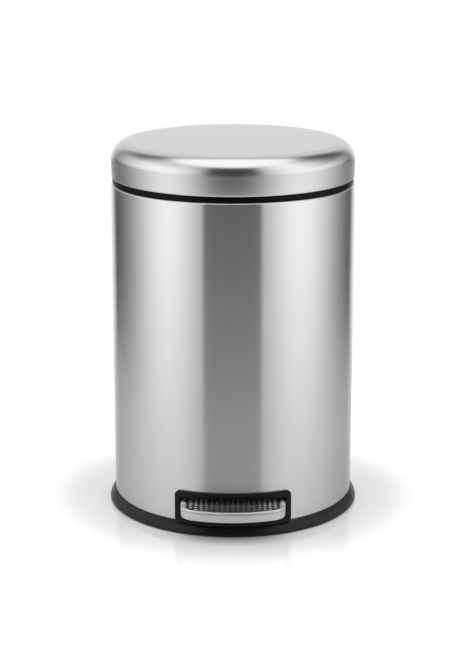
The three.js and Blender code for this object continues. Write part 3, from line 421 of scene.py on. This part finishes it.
bpy.ops.mesh.extrude_edges_move(TRANSFORM_OT_translate={"value": (0, 0, 0)})
narrowed = SLEEVE_HALF_HEIGHT / ((FRAME_HIGH - FRAME_LOW) / 2)
bpy.ops.transform.resize(value=(SLEEVE_HALF / FRAME_HALF, 1, narrowed),
                         center_override=(0, 0, (FRAME_HIGH + FRAME_LOW) / 2 * MM))
bpy.ops.mesh.extrude_edges_move(TRANSFORM_OT_translate={"value": (0, (sleeve - SEAT) * MM, 0)})
bpy.ops.object.mode_set(mode="OBJECT")
hold_loop(frame_piece, sleeve)
bpy.ops.mesh.bridge_edge_loops()
bpy.ops.object.mode_set(mode="OBJECT")
print("frame sleeve ends", round(sleeve, 2), "mm behind the drum")
lip_top = (band_top - 0.3) * MM
for vertex in frame_piece.data.vertices:
    if ARCH_LOW * MM < vertex.co.z < lip_top and abs(vertex.co.x) < ARCH_HALF * MM:
        vertex.co.z -= ARCH_DROP * MM * (vertex.co.x / (ARCH_X * MM)) ** 2
    out = -vertex.co.y
    vertex.co.y = -math.sqrt((BODY_R * MM + out) ** 2 - vertex.co.x ** 2)
settle(frame_piece, "pedal_frame", 30)
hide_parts("pedal_surround")
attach(frame_piece, "root")

# %% [markdown]
# Pedal tray.
# The pedal is a pressed metal tray with a bowed front. It is drawn as a plate with round
# front corners. It rises through SKIRT_STEPS, each a rise and a swell, with a groove under
# the top, and then goes inward through TOP_STEPS, each an inset, a narrowing from side to
# side and a rise, to a rounded rim with a fine groove and the pocket for the foot pad.
# The bow comes next: each vertex moves forward by the sagitta of the front arc at its X.
# Underneath the tray is hollow, and its skirt ends before the drum, so that it can go down.

# %% Pedal tray
ARC_R, ARC_Y = 114.25, -34.75
CORNER_Y = ARC_Y - math.sqrt(ARC_R ** 2 - TRAY_HALF ** 2)
FLAT_FRONT = -CORNER_Y
HALF_ACROSS, HALF_ALONG = 51.5, 17.5
FOOT_SHARE = 0.9865, 0.961, 1
TRAY_WALL, HOLLOW_DEPTH, CLEAR_R, CLEAR_TOP = 1.6, 5.8, 131.6, 29.4
SKIRT_STEPS = ((0.15, 0.4), (0.3, 0.25), (0.55, 0.05), (6.65, 0), (0.2, -0.25),
               (0.15, -0.6), (0.45, 0), (0.15, 0.6), (0.2, 0.25), (0.95, 0))
TOP_STEPS = ((0.1, 0, 0.3), (0.2, 0, 0.2), (0.3, 0.1, 0.12), (0.15, 1.0, 0),
             (0.12, 0.2, -0.25), (0.1, 0.25, 0), (0.12, 0.2, 0.25),
             (0.3, 1.0, 0.1), (0.15, 0.2, -0.15), (0.2, 0.1, -1.6))


def bow(piece):
    """Moves the front of a plate forward onto the arc, and leaves its rear straight."""
    for vertex in piece.data.vertices:
        x, y = vertex.co.x / MM, vertex.co.y / MM
        sag = ARC_Y - math.sqrt(ARC_R ** 2 - min(abs(x), TRAY_HALF) ** 2) - CORNER_Y
        share = max(0.0, min(1.0, (-y - TRAY_REAR) / (FLAT_FRONT - TRAY_REAR)))
        vertex.co.y += sag * share * MM


tray = rounded_plane(TRAY_HALF, -FLAT_FRONT, -TRAY_REAR, 10, facing="Z", segments=12,
                     rear=False)
middle = (0, -(FLAT_FRONT + TRAY_REAR) / 2 * MM, 0)
bpy.ops.transform.translate(value=(0, 0, TRAY_BOTTOM * MM))
bpy.ops.transform.resize(value=FOOT_SHARE, center_override=middle)
for rise, swell in SKIRT_STEPS:
    push(z=rise)
    bpy.ops.transform.resize(value=(1 + swell / HALF_ACROSS, 1 + swell / HALF_ALONG, 1),
                             center_override=middle)
half = TRAY_HALF
for across, aside, out in TOP_STEPS:
    step_in(across, out)
    half -= across
    bpy.ops.transform.resize(value=(1 - aside / half, 1, 1), center_override=middle)
    half -= aside
hold_faces(tray, lambda face: face.center.z < (TRAY_BOTTOM + 0.01) * MM)
bpy.ops.mesh.normals_make_consistent(inside=False)
step_in(TRAY_WALL, 0)
step_in(0.1, -HOLLOW_DEPTH)
bpy.ops.object.mode_set(mode="OBJECT")
bow(tray)
cut_with(tray, bar(CLEAR_R, 15, CLEAR_TOP, "Z", 0, 0, SIDES))
settle(tray, "tray", 30)
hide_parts("pedal_tray")
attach(tray, "pedal")

# %% [markdown]
# Foot pad.
# A rubber mat lies in the tray, with a flat strip round its edge and rows of domed studs.
# One stud is a low cylinder with three stepped facets; each of the others is a copy of it.

# %% Foot pad
STUD_R, STUD_LOW, STUD_HIGH = 1.9, 32.3, 32.6
STUD_STEPS = (0.25, 0.24), (0.35, 0.14), (0.35, 0.08)
COLUMNS, COLUMN_PITCH, ROWS, ROW_PITCH, FIRST_ROW = 8, 5.3, 7, 6.3, 5.2
PAD_EDGE = 2
pad = rounded_plane(PAD_HALF, PAD_EDGE - FLAT_FRONT, -101.5, 6, facing="Z", rear=False)
bpy.ops.transform.translate(value=(0, 0, PAD_BOTTOM * MM))
push(z=0.9)
step_in(0.25, 0.15)
bpy.ops.object.mode_set(mode="OBJECT")
bow(pad)
settle(pad, "foot_pad", 30)
stud = bar(STUD_R, STUD_LOW, STUD_HIGH, "Z", 0, 0, 12)
bpy.ops.object.transform_apply(location=True)
bpy.ops.object.mode_set(mode="EDIT")
bpy.ops.mesh.select_mode(type="FACE")
hold_faces(stud, lambda face: face.normal.z > 0.9)
for across, out in STUD_STEPS:
    step_in(across, out)
bpy.ops.object.mode_set(mode="OBJECT")
studs = []
stud_reach = ARC_R - PAD_EDGE - STUD_R - 0.2
for row in range(ROWS):
    y = -TRAY_FRONT + FIRST_ROW + row * ROW_PITCH
    for column in range(-COLUMNS, COLUMNS + 1):
        x = column * COLUMN_PITCH
        if math.hypot(x, y - ARC_Y) < stud_reach:
            copy = stud.copy()
            copy.data = stud.data.copy()
            copy.location = (x * MM, y * MM, 0)
            bpy.context.scene.collection.objects.link(copy)
            studs.append(copy)
bpy.data.objects.remove(stud)
settle(gather([pad] + studs), "foot_pad", 50)
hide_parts("pedal_pad")
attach(pad, "pedal")
print("studs:", len(studs))

# %% [markdown]
# Hinge housing.
# The whole back of the can shows one moulding: a cover over the hinge, seated on the drum.
# It begins as a block, gets its big round corners, is hollowed for the hinge arms and is
# bored for the pin and the screws.

# %% Hinge housing
def soften(piece, test, across, segments, profile=0.5):
    """Rounds the edges that pass the test."""
    pick_edges(piece, test)
    bpy.ops.mesh.bevel(offset=across * MM, segments=segments, profile=profile)
    bpy.ops.object.mode_set(mode="OBJECT")


HOUSING_LOW, HOUSING_HIGH, HOUSING_IN, ARM_HALF = 300, 344.5, 110, 19.3
POCKET_NEAR, POCKET_FAR, PIN_HOLE_R = 22.3, 31.5, 2.3
housing = block((-34, HOUSING_IN, HOUSING_LOW), (34, 146, HOUSING_HIGH))
not_inner = (HOUSING_IN + 1) * MM
soften(housing, lambda a, b: abs(a.z - b.z) > TINY and min(a.y, b.y) > 130 * MM, 8, 8)
soften(housing, lambda a, b: min(a.z, b.z) > (HOUSING_HIGH - 0.5) * MM
       and max(a.y, b.y) > not_inner, 3.2, 5)
soften(housing, lambda a, b: max(a.z, b.z) < (HOUSING_LOW + 0.1) * MM
       and max(a.y, b.y) > not_inner, 6.5, 7, 0.42)
cut_with(housing, bar(BORE_R, 285, 355, "Z", 0, 0, SIDES))
cut_with(housing, block((-ARM_HALF, 60, 316), (ARM_HALF, 143, 350), 3, "Z"))
cut_with(housing, block((-ARM_HALF, 60, 303), (ARM_HALF, HINGE_Y, 318), 3, "Z"))
for side in (-1, 1):
    near, far = sorted((side * POCKET_NEAR, side * POCKET_FAR))
    cut_with(housing, block((near, 60, 316), (far, 138.5, 341), 2, "Z"))
    cut_with(housing, bar(SCREW_HOLE_R, 62.5, 137, "Y", side * SCREW_X, SCREW_Z))
cut_with(housing, bar(PIN_HOLE_R, -40, 40, "X", HINGE_Y, HINGE_Z))
settle(housing, "hinge_cover", 35)
assert len(housing.data.polygons) > 200, "the hinge cover was cut away"
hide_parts("hinge_housing")
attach(housing, "root")

# %% [markdown]
# Lid lining.
# Under the steel lid lies a black inner lid. `cup` turns such a two-sided shell in one
# path: from near the centre of one face, round the rim, to the centre of the other.
# A boss at the back takes the two screws of the hinge bracket.

# %% Lid lining
def cup(name, stations):
    """Turns a shell whose path ends on the axis, and closes its start to a point too."""
    piece = rings(name, stations, closed=False)
    hold_open_edge(piece)
    bpy.ops.mesh.extrude_edges_move(TRANSFORM_OT_translate={"value": (0, 0, 0)})
    bpy.ops.mesh.merge(type="CENTER")
    return settle(piece, name)


WALL = 1.8
LINING_R, LINING_TOP = 123.6, 381.5
BEND_R, BEND_Z, BEND = 105.2, 363.1, 18.4
lining = cup("lid_lining", [
    (40, LINING_TOP - WALL), (86, LINING_TOP - WALL), (86.6, 379.2), (88.4, 379.2),
    (89, LINING_TOP - WALL),
    *rounding(BEND_R, BEND_Z, BEND - WALL, 90, 0, 14),
    (LINING_R - WALL, 351.2),
    *rounding(LINING_R - WALL / 2, 351.5, WALL / 2, 180, 360, 8),
    *rounding(BEND_R, BEND_Z, BEND, 0, 90, 14),
    (60, LINING_TOP), (0, LINING_TOP),
])
boss = block((-24, 117.3, 350.6), (24, 122.6, 367))
bpy.context.view_layer.objects.active = boss
bpy.ops.object.mode_set(mode="EDIT")
bpy.ops.mesh.select_all(action="SELECT")
bpy.ops.mesh.subdivide(number_cuts=9)
bpy.ops.object.mode_set(mode="OBJECT")
boss_back = (LINING_R - WALL / 2) * MM
for vertex in boss.data.vertices:
    if vertex.co.y > 122.5 * MM:
        vertex.co.y = math.sqrt(boss_back ** 2 - vertex.co.x ** 2)
for side in (-1, 1):
    cut_with(boss, bar(1.6, 100, 120.9, "Y", side * 9, 359.5, 24))
settle(gather([lining, boss]), "lid_lining")
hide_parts("lid_liner")
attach(lining, "lid")

# %% [markdown]
# Inner bucket.
# A tapered plastic bucket with a turned-out rim. Its back is flattened where the push rod
# runs behind it, by holding every vertex in front of a plane. Two ears carry the handle.

# %% Inner bucket
BUCKET_LOW, BUCKET_RISE, LOW_R, FLARE = 50.3, 277.7, 101.5, 8
RIM_START_R, FLAT_RIM, FLAT_OUTSIDE, FLAT_INSIDE = 110, 108.5, 106.9, 105.3
bucket = cup("inner_bucket", [
    (40, BUCKET_LOW),
    *rounding(97.5, BUCKET_LOW + 4, 4, -90, 0, 6),
    (104, 137), (106.5, 224), (109.3, 321.5),
    *rounding(110.6, 324.6, 1.2, 180, 90, 3),
    (111.6, 326),
    *rounding(112.2, 326.8, 0.8, -90, 90, 8),
    *rounding(108.7, 327.2, 0.8, 90, 180, 4),
    (104.9, 224), (102.4, 137),
    *rounding(97.5, 54.7, 2.4, 0, -90, 6),
    (60, 52.3), (0, 52.3),
])
for vertex in bucket.data.vertices:
    radius = math.hypot(vertex.co.x, vertex.co.y) / MM
    wall = LOW_R + FLARE * (vertex.co.z / MM - BUCKET_LOW) / BUCKET_RISE
    flat = FLAT_OUTSIDE if radius > wall - 0.8 else FLAT_INSIDE
    vertex.co.y = min(vertex.co.y, (FLAT_RIM if radius > RIM_START_R else flat) * MM)
EAR_IN, EAR_OUT, EAR_HALF, EAR_LOW, EAR_HIGH = 105.8, 108, 4, 323.3, 335
ears = []
for side in (-1, 1):
    near, far = sorted((side * EAR_IN, side * EAR_OUT))
    ear = block((near, -EAR_HALF, EAR_LOW), (far, EAR_HALF, EAR_HIGH), 2.4, "X")
    cut_with(ear, bar(2.1, near - 5, far + 5, "X", 0, HANDLE_Z))
    ears.append(ear)
settle(gather([bucket] + ears), "inner_bucket")
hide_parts("bucket")
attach(bucket, "bucket")

# %% [markdown]
# Bucket handle.
# One steel wire: a circle is drawn along by turning it about three centres, hook bend,
# half ring and hook bend again, and its two ends are filled.

# %% Bucket handle
HOOK, HOOK_X, WIRE_END, HANDLE_R, WIRE_SIDES = 2.5, 107.9, 2.8, 110.4, 16
fresh()
bpy.ops.mesh.primitive_circle_add(vertices=WIRE_SIDES, radius=WIRE_R * MM,
                                  rotation=(0, math.pi / 2, 0),
                                  location=((HOOK_X - WIRE_END) * MM, 0, HANDLE_Z * MM))
handle = bpy.context.object
bpy.ops.object.transform_apply(location=True, rotation=True, scale=True)
bpy.ops.object.mode_set(mode="EDIT")
bpy.ops.mesh.select_all(action="SELECT")
bpy.ops.mesh.extrude_edges_move(TRANSFORM_OT_translate={"value": (WIRE_END * MM, 0, 0)})
lean = math.asin(HOOK / HANDLE_R)
for x, y, turn, steps in ((HOOK_X, -HOOK, math.pi / 2, 6), (0, 0, math.pi - 2 * lean, 72),
                          (-HOOK_X, -HOOK, math.pi / 2, 6)):
    bpy.ops.mesh.spin(steps=steps, angle=turn, center=(x * MM, y * MM, HANDLE_Z * MM),
                      axis=(0, 0, 1))
bpy.ops.mesh.extrude_edges_move(TRANSFORM_OT_translate={"value": (WIRE_END * MM, 0, 0)})
bpy.ops.mesh.select_all(action="SELECT")
bpy.ops.mesh.fill_holes(sides=WIRE_SIDES)
settle(handle, "wire_handle", 40)
print("handle x", [round(handle.bound_box[i][0] / MM, 1) for i in (0, 6)],
      "y", [round(handle.bound_box[i][1] / MM, 1) for i in (0, 6)])
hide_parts("bucket_handle")
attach(handle, "handle")

# %% [markdown]
# Finishes.
# Every finish is built from nodes on Object coordinates. `Nodes` keeps the node code of
# finishes and world short: its helpers add sums, noises, ramps and mixes. `Finish` is one
# material with a Principled surface, and can add a bump.

# %% Finishes
class Nodes:
    """Short words for the nodes of one tree."""

    def __init__(self, tree):
        self.tree = tree

    def add(self, kind, **settings):
        node = self.tree.nodes.new(kind)
        for key, value in settings.items():
            setattr(node, key, value)
        return node

    def join(self, source, target):
        self.tree.links.new(source, target)

    def reckon(self, operation, a, b=None):
        node = self.add("ShaderNodeMath", operation=operation)
        for socket, value in zip(node.inputs, (a, b)):
            if isinstance(value, (int, float)):
                socket.default_value = value
            elif value is not None:
                self.join(value, socket)
        return node.outputs[0]

    def times(self, product, *others):
        for value in others:
            product = self.reckon("MULTIPLY", product, value)
        return product

    def split(self, vector):
        node = self.add("ShaderNodeSeparateXYZ")
        self.join(vector, node.inputs[0])
        return node.outputs

    def noise(self, vector, scale, detail=3.0, roughness=0.5, stretch=(1, 1, 1)):
        mapping = self.add("ShaderNodeMapping")
        mapping.inputs["Scale"].default_value = stretch
        self.join(vector, mapping.inputs["Vector"])
        node = self.add("ShaderNodeTexNoise")
        node.inputs["Scale"].default_value = scale
        node.inputs["Detail"].default_value = detail
        node.inputs["Roughness"].default_value = roughness
        self.join(mapping.outputs[0], node.inputs["Vector"])
        return node.outputs["Fac"]

    def between(self, value, low, high):
        """Goes from low to high as the value goes from 0 to 1."""
        node = self.add("ShaderNodeMapRange")
        node.inputs["To Min"].default_value = low
        node.inputs["To Max"].default_value = high
        self.join(value, node.inputs["Value"])
        return node.outputs[0]

    def climb(self, value, start, end):
        """Rises softly from 0 to 1 as the value goes from start to end."""
        node = self.add("ShaderNodeMapRange", interpolation_type="SMOOTHSTEP")
        node.inputs["From Min"].default_value = start
        node.inputs["From Max"].default_value = end
        self.join(value, node.inputs["Value"])
        return node.outputs[0]

    def bell(self, value, middle, width):
        """A soft hill of height 1 about the middle."""
        off = self.reckon("DIVIDE", self.reckon("SUBTRACT", value, middle), width)
        return self.reckon("POWER", math.e, self.times(off, off, -1))

    def blend(self, share, first, second):
        """Mixes two colours, each a list of numbers or the output of a node."""
        node = self.add("ShaderNodeMix", data_type="RGBA")
        self.join(share, node.inputs["Factor"])
        for colour, target in ((first, node.inputs[6]), (second, node.inputs[7])):
            if isinstance(colour, (tuple, list)):
                target.default_value = (*colour, 1)
            else:
                self.join(colour, target)
        return node.outputs[2]


def grey(shade, blue=0.0):
    """A grey colour, with a little more blue where the material is cooler."""
    return shade, shade + blue / 2, shade + blue


class Finish(Nodes):
    """One material with a Principled surface."""

    def __init__(self, name):
        self.material = bpy.data.materials.new(name)
        self.material.use_nodes = True
        super().__init__(self.material.node_tree)
        self.surface = self.tree.nodes["Principled BSDF"]
        self.place = self.add("ShaderNodeTexCoord").outputs["Object"]

    def set(self, **values):
        """Sets inputs of the surface: to a number, or to what a node gives."""
        for key, value in values.items():
            target = self.surface.inputs[key.replace("_", " ")]
            if isinstance(value, (int, float)):
                target.default_value = value
            else:
                self.join(value, target)

    def bump(self, value, depth, strength=1.0):
        node = self.add("ShaderNodeBump")
        node.inputs["Distance"].default_value = depth
        node.inputs["Strength"].default_value = strength
        self.join(value, node.inputs["Height"])
        self.join(node.outputs[0], self.surface.inputs["Normal"])


print("finish helper ready")

# %% [markdown]
# Brushed steel.
# The sheet is brushed round the can, so light spreads up and down but stays sharp from
# side to side. An anisotropic surface gives that spread, with its tangent taken around Z.
# The grain is noise pulled long around the can and packed tight across the brushing:
# height minus radius is a coordinate that keeps running over the body, bend and lid top.

# %% Brushed steel
def make_brushed_steel(name, smooth, rough, brushing, spread, flat_brushing, flat_rough, pale):
    """Steel whose flat parts, where the normal points up, have a finish of their own."""
    steel = Finish(name)
    x, y, z = steel.split(steel.place)
    radius = steel.reckon("SQRT", steel.reckon("ADD", steel.times(x, x), steel.times(y, y)))
    grain_place = steel.add("ShaderNodeCombineXYZ")
    for value, target in zip((x, y, steel.reckon("SUBTRACT", z, radius)), grain_place.inputs):
        steel.join(value, target)
    fine = steel.noise(grain_place.outputs[0], 1, 4, 0.6, (14, 14, 1900))
    broad = steel.noise(grain_place.outputs[0], 1, 3, 0.55, (5, 5, 420))
    grain = steel.reckon("ADD", steel.times(fine, 0.75), steel.times(broad, 0.25))
    up = steel.split(steel.add("ShaderNodeTexCoord").outputs["Normal"])[2]
    flat = steel.climb(up, 0.08, 0.35)
    around = steel.add("ShaderNodeTangent", direction_type="RADIAL", axis="Z")
    steel.set(Base_Color=steel.blend(grain, [0.97 * shade for shade in pale], pale),
              Metallic=1.0,
              Roughness=steel.times(steel.between(grain, smooth, rough),
                                    steel.between(flat, 1.0, flat_rough)),
              Anisotropic=steel.between(flat, brushing, flat_brushing),
              Anisotropic_Rotation=spread,
              Tangent=around.outputs[0])
    steel.bump(grain, 0.00002, 0.15)
    return steel.material


# %% [markdown]
# Tray metal, plated steel.
# The tray is a satin metal, brushed from side to side. Toward its rear, under the frame, it
# is painted paler and less metallic: painted light where the frame shades it. The hidden
# levers, pins and screws are zinc plated: duller, with soft cloudy patches from the bath.

# %% Tray metal and plated steel
def make_tray_metal():
    metal = Finish("tray_metal")
    grain = metal.noise(metal.place, 1, 4, 0.6, (30, 900, 900))
    # Painted light: the tray is painted paler toward its rear, in the frame's shade.
    rear = metal.climb(metal.split(metal.place)[1], -0.136, -0.118)
    metal.set(Base_Color=metal.blend(rear, metal.blend(grain, grey(0.57, 0.01), grey(0.65, 0.01)),
                                     metal.blend(grain, grey(0.86, 0.01), grey(0.92, 0.01))),
              Roughness=metal.between(grain, 0.26, 0.38),
              Metallic=metal.between(rear, 0.6, 0.15))
    metal.bump(grain, 0.00002, 0.4)
    return metal.material


def make_plated_steel():
    metal = Finish("plated_steel")
    cloud = metal.noise(metal.place, 90)
    metal.set(Base_Color=metal.blend(cloud, grey(0.50), (0.66, 0.66, 0.67)),
              Roughness=metal.between(cloud, 0.32, 0.5),
              Metallic=1.0)
    metal.bump(metal.noise(metal.place, 1400, 2), 0.00002, 0.5)
    return metal.material


# %% [markdown]
# Plastics and rubber.
# The black parts are satin mouldings with a very fine leather-like grain. The bucket is the
# same plastic in dark grey. Nylon guides stay their natural pale colour. The foot pad is a
# smoother rubber with shiny stud tops painted pale as a painted highlight, paler at the sides
# and toward the frame; its mat is painted lighter toward the frame, painted light in its shade.

# %% Plastics and rubber
def make_plastic(name, dark, light, smooth, rough, grain_size, depth, shine=0.5):
    plastic = Finish(name)
    cloud = plastic.noise(plastic.place, 60, 4, 0.55)
    plastic.set(Base_Color=plastic.blend(cloud, dark, light),
                Roughness=plastic.between(cloud, smooth, rough),
                IOR=1.5, Specular_IOR_Level=shine)
    plastic.bump(plastic.noise(plastic.place, grain_size, 2), depth, 0.5)
    return plastic.material


def make_pad_rubber():
    rubber = Finish("pad_rubber")
    cloud = rubber.noise(rubber.place, 60, 4, 0.55)
    x, y, z = rubber.split(rubber.place)
    # The stud tops get a real glossy coat, and their pale colour is a painted highlight.
    stud_tops_shine_and_glint = rubber.climb(z, 32.83 * MM, 32.96 * MM)
    # Painted highlight: the stud tops are painted paler toward the sides.
    aside = rubber.climb(rubber.reckon("ABSOLUTE", x), 20 * MM, 39 * MM)
    # Painted light: tops and mat are painted lighter toward the rear, in the frame's shade.
    rear = rubber.climb(y, -0.144, -0.112)
    tops = rubber.blend(rear, rubber.blend(aside, grey(0.04, 0.002), grey(0.66, 0.01)),
                        rubber.blend(aside, grey(0.30, 0.006), grey(0.95, 0.01)))
    mat = rubber.blend(
        rear, rubber.blend(cloud, (0.024, 0.024, 0.0245), (0.032, 0.032, 0.033)),
        rubber.blend(cloud, (0.11, 0.11, 0.112), (0.13, 0.13, 0.132)))
    rubber.set(Base_Color=rubber.blend(stud_tops_shine_and_glint, mat, tops),
               Roughness=rubber.between(cloud, 0.2, 0.28),
               IOR=1.5, Specular_IOR_Level=0.6,
               Coat_Weight=stud_tops_shine_and_glint, Coat_IOR=2.2, Coat_Roughness=0.16)
    rubber.bump(rubber.noise(rubber.place, 3000, 2), 0.00001, 0.5)
    return rubber.material


SOOT, COAL = (0.006, 0.006, 0.0065), (0.010, 0.010, 0.011)
finishes = {
    "brushed_steel": make_brushed_steel("brushed_steel", 0.225, 0.245, 1.0, 0.25, 1.0, 1.0,
                                        grey(0.56, 0.01)),
    "lid_steel": make_brushed_steel("lid_steel", 0.27, 0.29, 0.85, 0.0, 0.0, 0.78,
                                    grey(0.55, 0.006)),
    "tray_metal": make_tray_metal(),
    "plated_steel": make_plated_steel(),
    "black_plastic": make_plastic("black_plastic", SOOT, COAL, 0.24, 0.34, 2600, 0.00003, 0.2),
    # The rim ring's colour, darker than the other black plastic, is painted shade for the lid's
    # overhang.
    "ring_plastic": make_plastic("ring_plastic", (0.002, 0.002, 0.0024), (0.004, 0.004, 0.0046),
                                 0.26, 0.34, 2600, 0.00003, 0.07),
    "frame_plastic": make_plastic("frame_plastic", SOOT, COAL, 0.26, 0.36, 2600, 0.00003, 0.13),
    "black_rubber": make_plastic("black_rubber", grey(0.008), grey(0.013),
                                 0.28, 0.4, 3000, 0.00002),
    "grey_plastic": make_plastic("grey_plastic", (0.055, 0.056, 0.058), (0.075, 0.076, 0.078),
                                 0.4, 0.52, 1800, 0.00004),
    "natural_nylon": make_plastic("natural_nylon", (0.66, 0.64, 0.58), (0.74, 0.72, 0.66),
                                  0.38, 0.5, 2000, 0.00002),
    "pad_rubber": make_pad_rubber(),
}
print("finishes:", ", ".join(finishes))

# %% [markdown]
# Every piece gets its finish.
# The record says which finish each solid has, so the carried-over solids are dressed from
# that list. The new pieces take the same finishes, or one of their own: the lid, the ring,
# the pedal frame and the foot pad each differ a little in the photograph.

# %% Dressing
def dress(piece, finish):
    piece.data.materials.clear()
    piece.data.materials.append(finishes[finish])


for row in frame["record"]["subparts"]:
    node = nodes[row["node"]]
    for slot in node.material_slots:
        slot.material = finishes[row["material_slot"]]
    if not node.material_slots:
        dress(node, row["material_slot"])
for piece, finish in ((shell, "brushed_steel"), (lid, "lid_steel"), (ring, "ring_plastic"),
                      (base, "black_plastic"), (frame_piece, "frame_plastic"),
                      (tray, "tray_metal"), (pad, "pad_rubber"), (housing, "black_plastic"),
                      (lining, "black_plastic"), (bucket, "grey_plastic"),
                      (handle, "plated_steel")):
    dress(piece, finish)

# %% [markdown]
# Studio.
# The can stands on a pale glossy table in front of a white wall. The light is a plain
# studio: a large soft box on either side, a broad light overhead, the pale wall behind, and
# a lit floor low in front of a dark room, which gives the dark band in the steel. It is
# drawn as the world's brightness by direction, like a light tent, so that the steel has the
# studio to reflect from every side. `turn` is 0 in front of the pedal and grows toward +X,
# and `elevation` is 0 at the horizon, both in degrees. What the camera sees past the table
# is plain white.

# %% World
RIGHT_EDGE, LEFT_EDGE = (25.2, 28.0), (-26.2, -29.0)
OVER_TABLE, BOX_TOP = (-4, 8), (74, 60)
BOX_LIGHT, WALL_LIGHT, TOP_LIGHT, FLOOR_LIGHT, EVERYWHERE = 1.59, 0.98, 1.7, 0.68, 0.06
DEGREES = 180 / math.pi

world = bpy.context.scene.world or bpy.data.worlds.new("studio")
bpy.context.scene.world = world
world.use_nodes = True
sky = Nodes(world.node_tree)
for node in list(sky.tree.nodes):
    sky.tree.nodes.remove(node)
dx, dy, dz = sky.split(sky.add("ShaderNodeTexCoord").outputs["Generated"])
turn = sky.times(sky.reckon("ARCTAN2", dx, sky.times(dy, -1)), DEGREES)
aside = sky.reckon("ABSOLUTE", turn)
elevation = sky.times(sky.reckon("ARCSINE", dz), DEGREES)
over_table = sky.climb(elevation, *OVER_TABLE)


def dimmed(light, whole, share, hill):
    """The light, times whole less a share of the hill."""
    return sky.times(light, sky.reckon("SUBTRACT", whole, sky.times(hill, share)))


right_low = sky.times(sky.bell(turn, 66, 43), sky.climb(turn, *RIGHT_EDGE))
right_high = sky.times(sky.bell(turn, 76, 52), sky.climb(turn, *RIGHT_EDGE),
                       sky.climb(elevation, 30, 16), over_table)
right_box = sky.reckon("MAXIMUM", right_low, right_high)
left_low = sky.times(sky.bell(turn, -63, 38), sky.climb(turn, *LEFT_EDGE))
left_high = sky.times(sky.bell(turn, -78, 55), sky.climb(turn, *LEFT_EDGE), over_table)
left_box = sky.reckon("MAXIMUM", left_low, left_high)
left_box = sky.times(left_box, sky.between(sky.climb(elevation, 44, 28), 0.7, 1.0))
boxes = sky.times(sky.reckon("MAXIMUM", left_box, right_box), BOX_LIGHT,
                  sky.climb(elevation, *BOX_TOP))
seam = sky.times(sky.bell(aside, 131, 13), sky.climb(elevation, 26, 38))
boxes = dimmed(boxes, 1, 0.65, seam)
wall = sky.times(sky.climb(aside, 140, 160), sky.climb(elevation, 58, 46))
wall = dimmed(wall, WALL_LIGHT, 0.13, sky.bell(elevation, 19, 13))
top_light = sky.times(sky.climb(elevation, 50, 64), TOP_LIGHT)
floor = sky.times(sky.climb(elevation, -13, -26), FLOOR_LIGHT)
floor = dimmed(floor, 1, 0.26, sky.bell(turn, 0, 4))
brightest = sky.reckon("MAXIMUM", sky.reckon("MAXIMUM", boxes, wall),
                       sky.reckon("MAXIMUM", top_light, floor))
lit = sky.add("ShaderNodeBackground")
sky.join(sky.reckon("ADD", brightest, EVERYWHERE), lit.inputs["Strength"])
white = sky.add("ShaderNodeBackground")
for background in (lit, white):
    background.inputs["Color"].default_value = (1, 1, 1, 1)
light_path = sky.add("ShaderNodeLightPath")
mixed = sky.add("ShaderNodeMixShader")
sky.join(sky.reckon("MAXIMUM", light_path.outputs["Is Camera Ray"],
                    light_path.outputs["Is Transmission Ray"]), mixed.inputs[0])
sky.join(lit.outputs[0], mixed.inputs[1])
sky.join(white.outputs[0], mixed.inputs[2])
sky.join(mixed.outputs[0], sky.add("ShaderNodeOutputWorld").inputs[0])
print("studio world ready")

# %% [markdown]
# Table.
# A pale glossy disc that fades out at its rim into the white wall, so that no table edge
# shows from any side. It keeps the can's shadow and a faint mirror image of it. To the
# camera it is a little lighter away from the can, and the steel sees it darker, glossier
# and wider.

# %% Table
fresh()
bpy.ops.mesh.primitive_circle_add(vertices=128, radius=0.9, fill_type="NGON")
table = bpy.context.object
table.name = "table_top"
surface = Finish("table_white")
distance = surface.add("ShaderNodeVectorMath", operation="LENGTH")
surface.join(surface.place, distance.inputs[0])
distance = distance.outputs["Value"]
seen = surface.add("ShaderNodeLightPath").outputs["Is Camera Ray"]
cloud = surface.noise(surface.place, 6, 2)
surface.set(Base_Color=surface.blend(seen, surface.blend(cloud, grey(0.76), grey(0.78)),
                                     surface.blend(cloud, grey(0.93), grey(0.95))),
            IOR=surface.between(seen, 1.75, 1.4), Roughness=0.14)
# Painted light: a glow seen only by the camera, none beside the can, where its shade stays dark,
# and rising away from it.
glow = surface.add("ShaderNodeEmission")
surface.join(surface.times(seen, surface.climb(distance, 0.154, 0.205), 0.16),
             glow.inputs["Strength"])
lifted = surface.add("ShaderNodeAddShader")
surface.join(surface.surface.outputs[0], lifted.inputs[0])
surface.join(glow.outputs[0], lifted.inputs[1])
clear = surface.add("ShaderNodeBsdfTransparent")
mixed = surface.add("ShaderNodeMixShader")
reach = surface.between(seen, 0.6, 1.0)
surface.join(surface.climb(surface.times(distance, reach), 0.32, 0.55), mixed.inputs[0])
surface.join(lifted.outputs[0], mixed.inputs[1])
surface.join(clear.outputs[0], mixed.inputs[2])
surface.join(mixed.outputs[0], surface.tree.nodes["Material Output"].inputs[0])
table.data.materials.append(surface.material)

# %% [markdown]
# Camera.
# A long lens from slightly above the lid, aimed at the middle of the body. The distance and
# the tilt come from fitting the body's upright edges and the ellipses of lid and base.

# %% Camera
camera_data = bpy.data.cameras.new("camera")
camera = bpy.data.objects.new("camera", camera_data)
bpy.context.scene.collection.objects.link(camera)
TILT_DOWN = 14.647
camera_data.lens, camera_data.sensor_width = 100.58, 36
camera.location = (-0.0005, -1.8252, 0.6664)
camera.rotation_euler = (math.radians(90 - TILT_DOWN), 0, 0)
camera_data.clip_start, camera_data.clip_end = 0.05, 50
bpy.context.scene.camera = camera
bpy.context.scene.view_settings.view_transform = "Standard"
print("camera at", tuple(round(value, 3) for value in camera.location))

# %% [markdown]
# Last step.
# Every object is let go, out of edit mode. The dressed can may not grow out of the
# solids' box.

# %% Finish
fresh()
